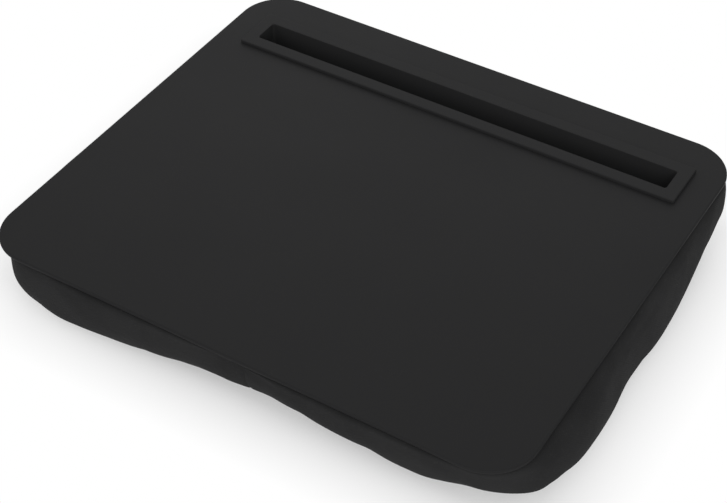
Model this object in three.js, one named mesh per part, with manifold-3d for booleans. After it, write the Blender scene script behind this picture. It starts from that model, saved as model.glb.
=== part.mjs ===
// Tablet lap pillow: a flat moulded tray with a tablet slot, carried on a two-lobed bead cushion.
// Millimetres. +X is the user's right, +Y points away from the user and +Z is up.
// The origin is on the floor, under the middle of the tray.
import * as THREE from "three";
import { mergeVertices } from "three/addons/utils/BufferGeometryUtils.js";
import Module from "manifold-3d";

// Tray
const TRAY_WIDTH = 380;
const TRAY_DEPTH = 328;
const TRAY_CORNER_RADIUS = 32;
const TRAY_THICKNESS = 3;
const TRAY_EDGE_ROUND = 1;
const RIB_WIDTH = 3;
const RIB_END_CLEARANCE = 2;

// Tablet slot
const SLOT_END_MARGIN = 30; // from the tray's side edge to the slot's inside end
const SLOT_BACK_MARGIN = 38; // from the tray's back edge to the slot's inside back wall
const SLOT_WIDTH = 19.4;
const SLOT_DEPTH = 24; // from the flange's top face to the slot's floor
const SLOT_CORNER_RADIUS = 2;
const SLOT_WALL = 2;
const FLANGE_REACH = 9.5; // from the slot's inside wall to the flange's edge
const FLANGE_HEIGHT = 2.2;
const FLANGE_CORNER_RADIUS = 1.5;
const FLANGE_EDGE_ROUND = 0.5;
const BARB_COUNT = 4; // snap barbs on each long wall
const BARB_LENGTH = 14;
const BARB_REACH = 1;
const BARB_HEIGHT = 4;

// Base board and its screws
const BOARD_THICKNESS = 3;
const BOARD_INSET = 9; // from the tray's edge to the board's edge
const SCREW_SIDE_MARGIN = 60; // from the tray's side edge to the outer screws
const SCREW_FRONT_MARGIN = 44; // from the tray's front edge to the front screws
const SCREW_SLOT_MARGIN = 27; // from the slot's inside front wall to the back screws
const SCREW_DIAMETER = 3.5;
const SCREW_TIP = 1.2;
const SCREW_HEAD_DIAMETER = 12;
const SCREW_HEAD_HEIGHT = 2;
const SCREW_RECESS_LENGTH = 4.6;
const SCREW_RECESS_WIDTH = 1;
const SCREW_RECESS_DEPTH = 1.2;
const BOSS_WALL = 1.7;
const PILOT_ROOF = 1.8; // plastic left above the screw's pilot hole

// Cushion
const CUSHION_HEIGHT = 59; // from the floor to the tray's underside
const FABRIC_THICKNESS = 1.2;
const HEM_WIDTH = 17; // of the cover, held on top of the board
const SIDE_BULGE_FRONT = 12.6; // how far the sides swell past the tray, at the front
const SIDE_BULGE_MIDDLE = 12;
const SIDE_BULGE_BACK = 0.8;
const END_BULGE = 2.3; // how far the front and back swell past the tray
const END_PINCH = 0.8; // share of that swelling which the middle seam draws in
const SIDE_SHOULDER_DROP = 20; // from the hem down to the widest part of a side
const END_SHOULDER_DROP = 5.5; // from the hem down to the widest part of the front and back
const SHOULDER_REACH = 75; // from the tray's side edge to where the widest part has that drop
const SIDE_RUN = 13; // how far a side runs in under, down to its foot
const FRONT_RUN = 30;
const BACK_RUN = 30;
const FOOT_CORNER_GAIN = 20; // by which the corner radius grows from the widest part to the foot
const FRONT_RISE_LEFT = 5; // height of the left lobe's foot above the floor, at the front
const FRONT_RISE_RIGHT = 19;
const BACK_RISE = 12;
const RISE_REACH = 80; // from the foot of the front or back to where its rise ends
const LOBE_OFFSET = 120; // from the middle seam to where each lobe has its own rise
const VALLEY_RISE = 11; // by which the middle seam is drawn up
const VALLEY_HALF_WIDTH = 50;
const CORNER_RISE = 7; // by which the foot's corners are drawn up
const CORNER_RISE_REACH = 85; // from the tray's side edge to where that rise ends
const REST_CUT = 0.5; // depth by which the lobes are flattened on the floor
const SEAM_TURN = THREE.MathUtils.degToRad(66); // turn of the flank at the seam to the underside
const BAG_SPLIT = 3; // between the two bead bags

// Clearances
const FIT_GAP = 0.3;
const BAG_CLEARANCE = 0.7; // between the cover and the bead bags
const TROUGH_CLEARANCE = 1; // between the slot's trough and the bead bags

// Fineness
const TRAY_CORNER_SEGMENTS = 8;
const SLOT_CORNER_SEGMENTS = 3;
const ROUND_SEGMENTS = 12;
const EDGE_SEGMENTS = 2;
const END_STEPS = 5; // of a cushion half, along the front or the back
const SIDE_STEPS = 6;
const CORNER_STEPS = 5;
const SHOULDER_STEPS = 3;
const FLANK_STEPS = 4; // from the widest part to the seam
const FOOT_STEPS = 2; // from the seam to the foot
const BASE_STEPS = 6; // from the foot to the middle seam
const MERGE_TOLERANCE = 1e-4;

// Places worked out from the sizes
const trayBottom = CUSHION_HEIGHT;
const trayTop = trayBottom + TRAY_THICKNESS;
const hemTop = trayBottom - FIT_GAP;
const boardTop = hemTop - FABRIC_THICKNESS - FIT_GAP;
const boardBottom = boardTop - BOARD_THICKNESS;
const headTop = boardBottom - FIT_GAP;
const bagTop = headTop - SCREW_HEAD_HEIGHT - FIT_GAP;
const flangeBottom = trayTop + FIT_GAP;
const flangeTop = flangeBottom + FLANGE_HEIGHT;
const slotFloor = flangeTop - SLOT_DEPTH;
const troughBottom = slotFloor - SLOT_WALL;
const boardRadius = Math.max(TRAY_CORNER_RADIUS - BOARD_INSET, BOARD_INSET);
const slotLength = TRAY_WIDTH - 2 * SLOT_END_MARGIN;
const slotBack = TRAY_DEPTH / 2 - SLOT_BACK_MARGIN;
const slotFront = slotBack - SLOT_WIDTH;
const slotMiddle = (slotFront + slotBack) / 2;
const sideHeight = hemTop - SIDE_SHOULDER_DROP; // of the widest part of a side
const footTurn = SEAM_TURN + FIT_GAP / (sideHeight * Math.cos(SEAM_TURN)); // where the underside begins
const footFront = -(TRAY_DEPTH / 2 + END_BULGE - FRONT_RUN);
const footBack = TRAY_DEPTH / 2 + END_BULGE - BACK_RUN;
const pilotDiameter = SCREW_DIAMETER + 2 * FIT_GAP;
const bossDiameter = pilotDiameter + 2 * BOSS_WALL;
const screwColumn = TRAY_WIDTH / 2 - SCREW_SIDE_MARGIN;
const screwFrontRow = -TRAY_DEPTH / 2 + SCREW_FRONT_MARGIN;
const screwBackRow = slotFront - SCREW_SLOT_MARGIN;
const screwMiddleRow = (screwFrontRow + screwBackRow) / 2;

const { lerp, smoothstep } = THREE.MathUtils;
const wasm = await Module();
wasm.setup();

const trayPlastic = new THREE.MeshStandardMaterial({ color: 0x2d2d2e, roughness: 0.5, metalness: 0 });
const slotPlastic = new THREE.MeshStandardMaterial({ color: 0x2f2f30, roughness: 0.48, metalness: 0 });
const coverFabric = new THREE.MeshStandardMaterial({ color: 0x2c2c2d, roughness: 0.95, metalness: 0 });
const hardboard = new THREE.MeshStandardMaterial({ color: 0x6b4a2f, roughness: 0.85, metalness: 0 });
const zincSteel = new THREE.MeshStandardMaterial({ color: 0xb9bcc0, roughness: 0.35, metalness: 1 });
const beadLiner = new THREE.MeshStandardMaterial({ color: 0xe4e2dc, roughness: 0.95, metalness: 0 });

// Turn a closed geometry into a solid that can be joined and cut.
function solidOf(geometry) {
  const bare = geometry.clone();
  bare.deleteAttribute("normal");
  bare.deleteAttribute("uv");
  const merged = mergeVertices(bare, MERGE_TOLERANCE);
  const vertProperties = new Float32Array(merged.attributes.position.array);
  const triVerts = new Uint32Array(merged.index.array);
  return new wasm.Manifold(new wasm.Mesh({ numProp: 3, vertProperties, triVerts }));
}

// Turn a solid back into a geometry.
function geometryOf(solid) {
  const mesh = solid.getMesh();
  const geometry = new THREE.BufferGeometry();
  geometry.setAttribute("position", new THREE.BufferAttribute(mesh.vertProperties, mesh.numProp));
  geometry.setIndex(new THREE.BufferAttribute(mesh.triVerts, 1));
  geometry.computeVertexNormals();
  return geometry;
}

function makeMesh(name, geometry, material) {
  const mesh = new THREE.Mesh(geometry, material);
  mesh.name = name;
  return mesh;
}

// A rectangle with rounded corners, centred on the origin.
function roundedRectangle(width, depth, radius) {
  const x = width / 2 - radius;
  const y = depth / 2 - radius;
  const shape = new THREE.Shape();
  shape.absarc(x, -y, radius, -Math.PI / 2, 0);
  shape.absarc(x, y, radius, 0, Math.PI / 2);
  shape.absarc(-x, y, radius, Math.PI / 2, Math.PI);
  shape.absarc(-x, -y, radius, Math.PI, 1.5 * Math.PI);
  shape.closePath();
  return shape;
}

// A flat plate from bottom to top, with its edges rounded by edgeRound where that is above zero.
function plate({ width, depth, radius, segments, bottom, top, edgeRound }) {
  const geometry = new THREE.ExtrudeGeometry(roundedRectangle(width, depth, radius), {
    depth: top - bottom - 2 * edgeRound,
    curveSegments: segments,
    bevelEnabled: edgeRound > 0,
    bevelThickness: edgeRound,
    bevelSize: edgeRound,
    bevelOffset: -edgeRound,
    bevelSegments: EDGE_SEGMENTS,
  });
  return geometry.translate(0, 0, bottom + edgeRound);
}

// A box between two corners.
function block(low, high) {
  const size = new THREE.Vector3().subVectors(high, low);
  const middle = new THREE.Vector3().addVectors(low, high).multiplyScalar(0.5);
  return new THREE.BoxGeometry(size.x, size.y, size.z).translate(middle.x, middle.y, middle.z);
}

// An upright cylinder between two heights.
function post(diameter, x, y, bottom, top) {
  const geometry = new THREE.CylinderGeometry(diameter / 2, diameter / 2, top - bottom, ROUND_SEGMENTS);
  return geometry.rotateX(Math.PI / 2).translate(x, y, (bottom + top) / 2);
}

// The box that the slot's trough fills, grown all round and carried from bottom to top.
function troughBlock(clearance, bottom, top) {
  const x = slotLength / 2 + SLOT_WALL + clearance;
  return block(
    new THREE.Vector3(-x, slotFront - SLOT_WALL - clearance, bottom),
    new THREE.Vector3(x, slotBack + SLOT_WALL + clearance, top),
  );
}

// Three rows of screws, with none in the very middle.
function screwPlaces() {
  const places = [];
  for (const y of [screwFrontRow, screwMiddleRow, screwBackRow]) {
    for (const x of [-screwColumn, 0, screwColumn]) {
      if (x !== 0 || y !== screwMiddleRow) {
        places.push(new THREE.Vector2(x, y));
      }
    }
  }
  return places;
}

// Tray: a sheet with low ribs that bear on the board, screw bosses and the cut-out for the trough.
function trayGeometry() {
  const sheet = plate({
    width: TRAY_WIDTH,
    depth: TRAY_DEPTH,
    radius: TRAY_CORNER_RADIUS,
    segments: TRAY_CORNER_SEGMENTS,
    bottom: trayBottom,
    top: trayTop,
    edgeRound: TRAY_EDGE_ROUND,
  });
  let tray = solidOf(sheet);
  const sheetMiddle = (trayBottom + trayTop) / 2;
  const ribBottom = boardTop + FIT_GAP;
  const ribInset = BOARD_INSET + HEM_WIDTH + RIB_END_CLEARANCE;
  const ribX = TRAY_WIDTH / 2 - ribInset;
  const ribFront = -TRAY_DEPTH / 2 + ribInset;
  const ribBack = slotFront - SLOT_WALL - BARB_REACH - RIB_END_CLEARANCE;
  for (const y of [(screwFrontRow + screwMiddleRow) / 2, (screwMiddleRow + screwBackRow) / 2]) {
    const low = new THREE.Vector3(-ribX, y - RIB_WIDTH / 2, ribBottom);
    const high = new THREE.Vector3(ribX, y + RIB_WIDTH / 2, sheetMiddle);
    tray = tray.add(solidOf(block(low, high)));
  }
  for (const x of [-screwColumn / 2, screwColumn / 2]) {
    const low = new THREE.Vector3(x - RIB_WIDTH / 2, ribFront, ribBottom);
    const high = new THREE.Vector3(x + RIB_WIDTH / 2, ribBack, sheetMiddle);
    tray = tray.add(solidOf(block(low, high)));
  }
  for (const place of screwPlaces()) {
    tray = tray.add(solidOf(post(bossDiameter, place.x, place.y, boardBottom + FIT_GAP, sheetMiddle)));
  }
  for (const place of screwPlaces()) {
    const pilot = post(pilotDiameter, place.x, place.y, boardBottom - FIT_GAP, trayTop - PILOT_ROOF);
    tray = tray.subtract(solidOf(pilot));
  }
  const cutOut = troughBlock(FIT_GAP, boardBottom, trayTop + FLANGE_HEIGHT);
  return geometryOf(tray.subtract(solidOf(cutOut)));
}

// One snap barb: a wedge under the tray's sheet, sloping back to the wall below.
function barbGeometry(x, wallY, outward) {
  const top = trayBottom - FIT_GAP;
  const root = wallY - (outward * SLOT_WALL) / 2;
  const outline = new THREE.Shape();
  outline.moveTo(root, top);
  outline.lineTo(wallY + outward * BARB_REACH, top);
  outline.lineTo(wallY, top - BARB_HEIGHT);
  outline.lineTo(root, top - BARB_HEIGHT);
  outline.closePath();
  const geometry = new THREE.ExtrudeGeometry(outline, { depth: BARB_LENGTH, bevelEnabled: false });
  geometry.rotateX(Math.PI / 2);
  geometry.rotateZ(Math.PI / 2);
  return geometry.translate(x - BARB_LENGTH / 2, 0, 0);
}

// Slot insert: a trough that drops through the tray and hangs on its flange.
function slotGeometry() {
  const slotPlate = (margin, radius, bottom, top, edgeRound) =>
    plate({
      width: slotLength + 2 * margin,
      depth: SLOT_WIDTH + 2 * margin,
      radius,
      segments: SLOT_CORNER_SEGMENTS,
      bottom,
      top,
      edgeRound,
    });
  const troughTop = flangeTop - FLANGE_EDGE_ROUND;
  const hollowTop = flangeTop + FLANGE_HEIGHT;
  const trough = slotPlate(SLOT_WALL, SLOT_CORNER_RADIUS + SLOT_WALL, troughBottom, troughTop, 0);
  const flange = slotPlate(FLANGE_REACH, FLANGE_CORNER_RADIUS, flangeBottom, flangeTop, FLANGE_EDGE_ROUND);
  const hollow = slotPlate(0, SLOT_CORNER_RADIUS, slotFloor, hollowTop, 0);
  let insert = solidOf(trough.translate(0, slotMiddle, 0));
  insert = insert.add(solidOf(flange.translate(0, slotMiddle, 0)));
  insert = insert.subtract(solidOf(hollow.translate(0, slotMiddle, 0)));
  const pitch = slotLength / BARB_COUNT;
  for (let i = 0; i < BARB_COUNT; i++) {
    const x = (i + 0.5) * pitch - slotLength / 2;
    insert = insert.add(solidOf(barbGeometry(x, slotFront - SLOT_WALL, -1)));
    insert = insert.add(solidOf(barbGeometry(x, slotBack + SLOT_WALL, 1)));
  }
  return geometryOf(insert);
}

// Base board, with room for the trough, its barbs and the screw bosses.
function boardGeometry() {
  const panel = plate({
    width: TRAY_WIDTH - 2 * BOARD_INSET,
    depth: TRAY_DEPTH - 2 * BOARD_INSET,
    radius: boardRadius,
    segments: TRAY_CORNER_SEGMENTS,
    bottom: boardBottom,
    top: boardTop,
    edgeRound: 0,
  });
  let board = solidOf(panel);
  const cutBottom = boardBottom - BOARD_THICKNESS;
  const cutTop = boardTop + BOARD_THICKNESS;
  board = board.subtract(solidOf(troughBlock(BARB_REACH + FIT_GAP, cutBottom, cutTop)));
  for (const place of screwPlaces()) {
    const hole = post(bossDiameter + 2 * FIT_GAP, place.x, place.y, cutBottom, cutTop);
    board = board.subtract(solidOf(hole));
  }
  return geometryOf(board);
}

// Flange-head screw, standing on its head with a cross recess below. Its seat is at height zero.
function screwGeometry() {
  const length = trayTop - PILOT_ROOF - FIT_GAP - headTop;
  const profile = [
    new THREE.Vector2(0, -SCREW_HEAD_HEIGHT),
    new THREE.Vector2(SCREW_HEAD_DIAMETER / 4, -SCREW_HEAD_HEIGHT),
    new THREE.Vector2(SCREW_HEAD_DIAMETER / 3, -SCREW_HEAD_HEIGHT / 2),
    new THREE.Vector2(SCREW_HEAD_DIAMETER / 2, -SCREW_HEAD_HEIGHT / 3),
    new THREE.Vector2(SCREW_HEAD_DIAMETER / 2, 0),
    new THREE.Vector2(SCREW_DIAMETER / 2, 0),
    new THREE.Vector2(SCREW_DIAMETER / 2, length - SCREW_TIP),
    new THREE.Vector2(0, length),
  ];
  const turned = new THREE.LatheGeometry(profile, ROUND_SEGMENTS).rotateX(Math.PI / 2);
  const reach = SCREW_RECESS_LENGTH / 2;
  const half = SCREW_RECESS_WIDTH / 2;
  const bottom = -2 * SCREW_HEAD_HEIGHT;
  const top = -SCREW_HEAD_HEIGHT + SCREW_RECESS_DEPTH;
  const along = block(new THREE.Vector3(-reach, -half, bottom), new THREE.Vector3(reach, half, top));
  const across = block(new THREE.Vector3(-half, -reach, bottom), new THREE.Vector3(half, reach, top));
  return geometryOf(solidOf(turned).subtract(solidOf(along)).subtract(solidOf(across)));
}

// Stations round one half of the cushion, between the front middle and the back middle, anticlockwise.
// Each holds its side, its share of the way to the corner, both ways, and the direction in which it faces.
function halfStations(side) {
  const stations = [];
  const add = (across, along, angle) => {
    stations.push({ side, across, along, outX: Math.cos(angle), outY: Math.sin(angle) });
  };
  for (let i = 0; i <= END_STEPS; i++) {
    add(i / END_STEPS, -1, -Math.PI / 2);
  }
  for (let i = 1; i <= CORNER_STEPS; i++) {
    add(1, -1, (-Math.PI / 2) * (1 - i / CORNER_STEPS));
  }
  for (let i = 1; i <= SIDE_STEPS; i++) {
    add(1, (2 * i) / SIDE_STEPS - 1, 0);
  }
  for (let i = 1; i <= CORNER_STEPS; i++) {
    add(1, 1, (Math.PI / 2) * (i / CORNER_STEPS));
  }
  for (let i = 1; i <= END_STEPS; i++) {
    add(1 - i / END_STEPS, 1, Math.PI / 2);
  }
  return side > 0 ? stations : stations.reverse();
}

// A station's point on a rounded rectangle that stands past the tray's outline by side, front and back.
// split is the distance that the half keeps from the middle.
function ringPoint(station, past, radius, z, split) {
  const cornerX = TRAY_WIDTH / 2 + past.side - radius;
  const cornerFront = -(TRAY_DEPTH / 2 + past.front - radius);
  const cornerBack = TRAY_DEPTH / 2 + past.back - radius;
  const x = lerp(split, cornerX, station.across) + station.outX * radius;
  const y = lerp(cornerFront, cornerBack, (station.along + 1) / 2) + station.outY * radius;
  return new THREE.Vector3(station.side * x, y, z);
}

// The cushion's form at a station: how far it swells and how high it is widest.
function formAt(station) {
  const edge = ringPoint(station, { side: 0, front: 0, back: 0 }, TRAY_CORNER_RADIUS, 0, 0);
  const share = edge.y / (TRAY_DEPTH / 2);
  const sideEnd = share < 0 ? SIDE_BULGE_FRONT : SIDE_BULGE_BACK;
  const pinch = END_PINCH * Math.exp(-((edge.x / VALLEY_HALF_WIDTH) ** 2));
  const sideways = smoothstep(Math.abs(edge.x), TRAY_WIDTH / 2 - SHOULDER_REACH, TRAY_WIDTH / 2);
  return {
    side: lerp(SIDE_BULGE_MIDDLE, sideEnd, Math.abs(share)),
    end: END_BULGE * (1 - pinch),
    widest: hemTop - lerp(END_SHOULDER_DROP, SIDE_SHOULDER_DROP, sideways),
  };
}

// Height of the underside: a valley along the middle seam, ends and corners that are drawn up, and flats
// where the lobes rest.
function baseHeight(x, y) {
  const valley = VALLEY_RISE * Math.exp(-((x / VALLEY_HALF_WIDTH) ** 2));
  const nearFront = 1 - smoothstep(y, footFront, footFront + RISE_REACH);
  const nearBack = smoothstep(y, footBack - RISE_REACH, footBack);
  const nearCorner = smoothstep(Math.abs(x), TRAY_WIDTH / 2 - CORNER_RISE_REACH, TRAY_WIDTH / 2);
  const frontRise = lerp(FRONT_RISE_LEFT, FRONT_RISE_RIGHT, smoothstep(x, -LOBE_OFFSET, LOBE_OFFSET));
  const corner = CORNER_RISE * nearCorner;
  const ends = (frontRise + corner) * nearFront + (BACK_RISE + corner) * nearBack;
  return Math.max(valley + ends - REST_CUT, 0);
}

// Upper part of the side, from the hem (turn 0) out to the widest part. skin is the depth inside the cover.
function shoulderPoint(station, turn, skin, split) {
  const form = formAt(station);
  const out = Math.sin(turn);
  const past = {
    side: lerp(-BOARD_INSET, form.side - skin, out),
    front: lerp(-BOARD_INSET, form.end - skin, out),
    back: lerp(-BOARD_INSET, form.end - skin, out),
  };
  const z = lerp(form.widest, hemTop - skin, Math.cos(turn));
  return ringPoint(station, past, lerp(boardRadius, TRAY_CORNER_RADIUS, out), z, split);
}

// Lower part of the side, from the widest part (turn 0) in under to the foot.
function flankPoint(station, turn, skin, split) {
  const form = formAt(station);
  const inShare = 1 - Math.cos(turn);
  const skinOut = skin * Math.cos(turn);
  const past = {
    side: form.side - SIDE_RUN * inShare - skinOut,
    front: form.end - FRONT_RUN * inShare - skinOut,
    back: form.end - BACK_RUN * inShare - skinOut,
  };
  const radius = TRAY_CORNER_RADIUS + FOOT_CORNER_GAIN * inShare;
  const point = ringPoint(station, past, radius, 0, split);
  const foot = baseHeight(point.x, point.y) + skin;
  point.z = lerp(form.widest, foot, Math.sin(turn));
  return point;
}

// Rows of the underside, from the foot to the middle seam.
function baseRows(stations, skin, split) {
  const feet = stations.map((station) => flankPoint(station, Math.PI / 2, skin, split));
  const rows = [];
  for (let i = 1; i <= BASE_STEPS; i++) {
    const share = 1 - i / BASE_STEPS;
    rows.push(
      stations.map((station, column) => {
        const y = lerp(feet[0].y, feet[feet.length - 1].y, column / (stations.length - 1));
        const seam = new THREE.Vector3(station.side * split, y, 0);
        const point = seam.lerp(feet[column], share);
        point.z = baseHeight(point.x, point.y) + skin;
        return point;
      }),
    );
  }
  return rows;
}

// Rows of the shoulder, from the hem to just above the widest part.
function shoulderRows(stations, skin, split) {
  const rows = [];
  for (let i = 0; i < SHOULDER_STEPS; i++) {
    const turn = (Math.PI / 2) * (i / SHOULDER_STEPS);
    rows.push(stations.map((station) => shoulderPoint(station, turn, skin, split)));
  }
  return rows;
}

// Rows of the flank between two turns, both included.
function flankRows(stations, from, to, steps, skin, split) {
  const rows = [];
  for (let i = 0; i <= steps; i++) {
    const turn = lerp(from, to, i / steps);
    rows.push(stations.map((station) => flankPoint(station, turn, skin, split)));
  }
  return rows;
}

// Leave out the triangles whose corners have merged, and turn the faces outwards.
function cleanFaces(geometry) {
  const merged = mergeVertices(geometry, MERGE_TOLERANCE);
  const source = merged.index.array;
  const corner = [new THREE.Vector3(), new THREE.Vector3(), new THREE.Vector3()];
  const faces = [];
  let volume = 0;
  for (let i = 0; i < source.length; i += 3) {
    const [a, b, c] = source.slice(i, i + 3);
    if (a !== b && b !== c && c !== a) {
      faces.push([a, b, c]);
      corner.forEach((vector, k) => vector.fromBufferAttribute(merged.attributes.position, source[i + k]));
      volume += corner[0].dot(corner[1].cross(corner[2]));
    }
  }
  const outwards = volume > 0 ? faces : faces.map(([a, b, c]) => [a, c, b]);
  merged.setIndex(outwards.flat());
  return merged;
}

// A closed solid between two grids of points of one size, joined round their borders.
function sheetGeometry(outer, inner) {
  const rows = outer.length;
  const columns = outer[0].length;
  const faces = [];
  const quad = (a, b, c, d) => faces.push(a, b, c, a, c, d);
  const out = (row, column) => row * columns + column;
  const within = (row, column) => rows * columns + out(row, column);
  for (let row = 0; row < rows - 1; row++) {
    for (let column = 0; column < columns - 1; column++) {
      quad(out(row, column), out(row, column + 1), out(row + 1, column + 1), out(row + 1, column));
      quad(within(row, column), within(row + 1, column), within(row + 1, column + 1), within(row, column + 1));
    }
    const last = columns - 1;
    quad(out(row, 0), out(row + 1, 0), within(row + 1, 0), within(row, 0));
    quad(out(row, last), within(row, last), within(row + 1, last), out(row + 1, last));
  }
  for (let column = 0; column < columns - 1; column++) {
    const last = rows - 1;
    quad(out(0, column), within(0, column), within(0, column + 1), out(0, column + 1));
    quad(out(last, column), out(last, column + 1), within(last, column + 1), within(last, column));
  }
  const geometry = new THREE.BufferGeometry();
  geometry.setFromPoints([...outer.flat(), ...inner.flat()]);
  geometry.setIndex(faces);
  return cleanFaces(geometry);
}

// Side band of the cover: the hem on the board, the shoulder and the flank down to the seam.
// It is one strip whose ends meet at the front middle.
function bandGeometry() {
  const stations = [...halfStations(1), ...halfStations(-1).slice(1)];
  const split = FIT_GAP / 2;
  const hemPast = -BOARD_INSET - HEM_WIDTH;
  const hemRadius = Math.max(TRAY_CORNER_RADIUS + hemPast, BOARD_INSET);
  const skinRows = (skin) => {
    const past = { side: hemPast, front: hemPast, back: hemPast };
    const hem = stations.map((station) => ringPoint(station, past, hemRadius, hemTop - skin, split));
    const flank = flankRows(stations, 0, SEAM_TURN, FLANK_STEPS, skin, split);
    return [hem, ...shoulderRows(stations, skin, split), ...flank];
  };
  return sheetGeometry(skinRows(0), skinRows(FABRIC_THICKNESS));
}

// One half of the cover's underside, from the seam with the band to the middle seam.
function bottomGeometry(side) {
  const stations = halfStations(side);
  const split = FIT_GAP / 2;
  const skinRows = (skin) => [
    ...flankRows(stations, footTurn, Math.PI / 2, FOOT_STEPS, skin, split),
    ...baseRows(stations, skin, split),
  ];
  return sheetGeometry(skinRows(0), skinRows(FABRIC_THICKNESS));
}

// One bead bag: it fills its lobe up to the screw heads, and leaves room for the trough.
function bagGeometry(side) {
  const stations = halfStations(side);
  const skin = FABRIC_THICKNESS + BAG_CLEARANCE;
  const split = BAG_SPLIT / 2;
  const lower = [
    ...shoulderRows(stations, skin, split),
    ...flankRows(stations, 0, SEAM_TURN, FLANK_STEPS, skin, split),
    ...flankRows(stations, footTurn, Math.PI / 2, FOOT_STEPS, skin, split),
    ...baseRows(stations, skin, split),
  ];
  const rim = lower[0];
  const upper = lower.map((row, index) =>
    row.map((point, column) => {
      const seamY = lerp(rim[0].y, rim[rim.length - 1].y, column / (rim.length - 1));
      const seam = new THREE.Vector3(side * split, seamY, hemTop - skin);
      return rim[column].clone().lerp(seam, index / (lower.length - 1));
    }),
  );
  const reach = TRAY_WIDTH;
  const above = block(new THREE.Vector3(-reach, -reach, bagTop), new THREE.Vector3(reach, reach, 2 * trayTop));
  const room = troughBlock(TROUGH_CLEARANCE, troughBottom - TROUGH_CLEARANCE, trayTop);
  return geometryOf(solidOf(sheetGeometry(lower, upper)).subtract(solidOf(above)).subtract(solidOf(room)));
}

const tray = new THREE.Group();
tray.add(makeMesh("tray_top", trayGeometry(), trayPlastic));
tray.add(makeMesh("slot_insert", slotGeometry(), slotPlastic));
tray.add(makeMesh("base_board", boardGeometry(), hardboard));
const screw = screwGeometry();
screwPlaces().forEach((place, index) => {
  const mesh = makeMesh(`board_screw_${index + 1}`, screw, zincSteel);
  mesh.position.set(place.x, place.y, headTop);
  tray.add(mesh);
});

const cushion = new THREE.Group();
cushion.add(makeMesh("cover_band", bandGeometry(), coverFabric));
cushion.add(makeMesh("cover_bottom_left", bottomGeometry(-1), coverFabric));
cushion.add(makeMesh("cover_bottom_right", bottomGeometry(1), coverFabric));
cushion.add(makeMesh("bead_bag_left", bagGeometry(-1), beadLiner));
cushion.add(makeMesh("bead_bag_right", bagGeometry(1), beadLiner));

const lapPillow = new THREE.Group();
lapPillow.add(cushion, tray);

export default lapPillow;
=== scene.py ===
"""Looks of a tablet lap pillow: a moulded tray with a tablet slot, carried on a bead-filled cushion.

Lengths are metres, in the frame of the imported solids: +X to the user's right, +Y away from the user,
+Z up, with the origin on the floor under the middle of the tray.
"""

import logging
import math
from collections.abc import Callable, Iterator
from contextlib import contextmanager
from dataclasses import dataclass, field
from enum import Enum

import bmesh
import bpy
from bmesh.types import BMEdge, BMesh, BMFace, BMLayerItem, BMVert
from bpy.types import Material, Node, NodeOutputs, NodeSocket, NodeTree, Object
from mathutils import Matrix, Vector, noise
from mathutils.geometry import delaunay_2d_cdt
from mathutils.kdtree import KDTree


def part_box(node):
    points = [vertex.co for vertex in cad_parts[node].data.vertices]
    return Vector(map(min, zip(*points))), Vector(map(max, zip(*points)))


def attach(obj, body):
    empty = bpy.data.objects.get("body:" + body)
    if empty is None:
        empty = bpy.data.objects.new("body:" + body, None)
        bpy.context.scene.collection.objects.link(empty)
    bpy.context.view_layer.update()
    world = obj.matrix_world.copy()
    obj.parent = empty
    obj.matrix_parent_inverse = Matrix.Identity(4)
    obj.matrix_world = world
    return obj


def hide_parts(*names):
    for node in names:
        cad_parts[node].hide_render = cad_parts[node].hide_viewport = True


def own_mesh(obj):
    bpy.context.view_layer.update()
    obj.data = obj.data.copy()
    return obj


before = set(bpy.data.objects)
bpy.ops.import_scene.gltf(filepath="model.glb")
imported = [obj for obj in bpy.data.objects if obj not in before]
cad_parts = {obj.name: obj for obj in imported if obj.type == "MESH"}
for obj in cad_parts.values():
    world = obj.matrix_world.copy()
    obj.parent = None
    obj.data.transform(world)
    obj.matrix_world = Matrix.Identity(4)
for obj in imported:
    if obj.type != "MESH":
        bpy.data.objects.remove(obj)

LOG = logging.getLogger("lap_pillow")
MM = 0.001
FIT_GAP = 0.3 * MM
MERGE_GAP = 0.01 * MM  # points nearer to each other than this are one
CUT_SPARE = 10 * MM  # by which a cutting solid runs past the face that it cuts
HARD_ANGLE = math.radians(40)  # past which an edge of a moulded piece stays sharp
QUARTER_TURN = math.pi / 2
INSIDE_ONLY = 1  # has the triangulation keep what lies inside its outline

Colour = tuple[float, float, float]
Span = tuple[float, float]

FULL: Span = (0.0, 1.0)
MOST: Span = (0.3, 0.7)  # holds most values of a noise
WHITE = (1.0, 1.0, 1.0, 1.0)
VALUE = "NodeSocketFloat"
VECTOR = "NodeSocketVector"


class Body(Enum):
    """The rigid bodies that pieces ride on."""

    TRAY = "tray"
    CUSHION = "cushion"


class Slot(Enum):
    """The record's material slots."""

    TRAY_PLASTIC = "tray_plastic"
    SLOT_PLASTIC = "slot_plastic"
    HARDBOARD = "hardboard"
    SCREW_STEEL = "screw_steel"
    COVER_FABRIC = "cover_fabric"
    BEAD_LINER = "bead_liner"


class Combine(Enum):
    """Ways of joining a tool solid to a piece."""

    JOIN = "UNION"
    CUT = "DIFFERENCE"


# Small sums


def lerp(low: float, high: float, share: float) -> float:
    """Returns the value at a share of the way from low to high."""
    return low + (high - low) * share


def smoothstep(value: float, low: float, high: float) -> float:
    """Returns 0 up to low, 1 from high on, and a smooth rise between them."""
    share = min(max((value - low) / (high - low), 0.0), 1.0)
    return share * share * (3 - 2 * share)


def bell(distance: float, reach: float) -> float:
    """Returns a bell curve that is 1 at no distance and fades past reach."""
    return math.exp(-((distance / reach) ** 2))


def stops(low: float, high: float, count: int) -> list[float]:
    """Returns the ends of equal steps from low to high."""
    return [(high - low) * i / count + low for i in range(1, count + 1)]


# Mesh helpers


def link_new(name: str, data: bpy.types.ID) -> Object:
    """Makes an object at the origin and links it to the scene.

    Args:
        name: Its name.
        data: Its mesh, camera or lamp.

    Returns:
        The object.
    """
    obj = bpy.data.objects.new(name, data)
    bpy.context.scene.collection.objects.link(obj)
    return obj


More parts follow.
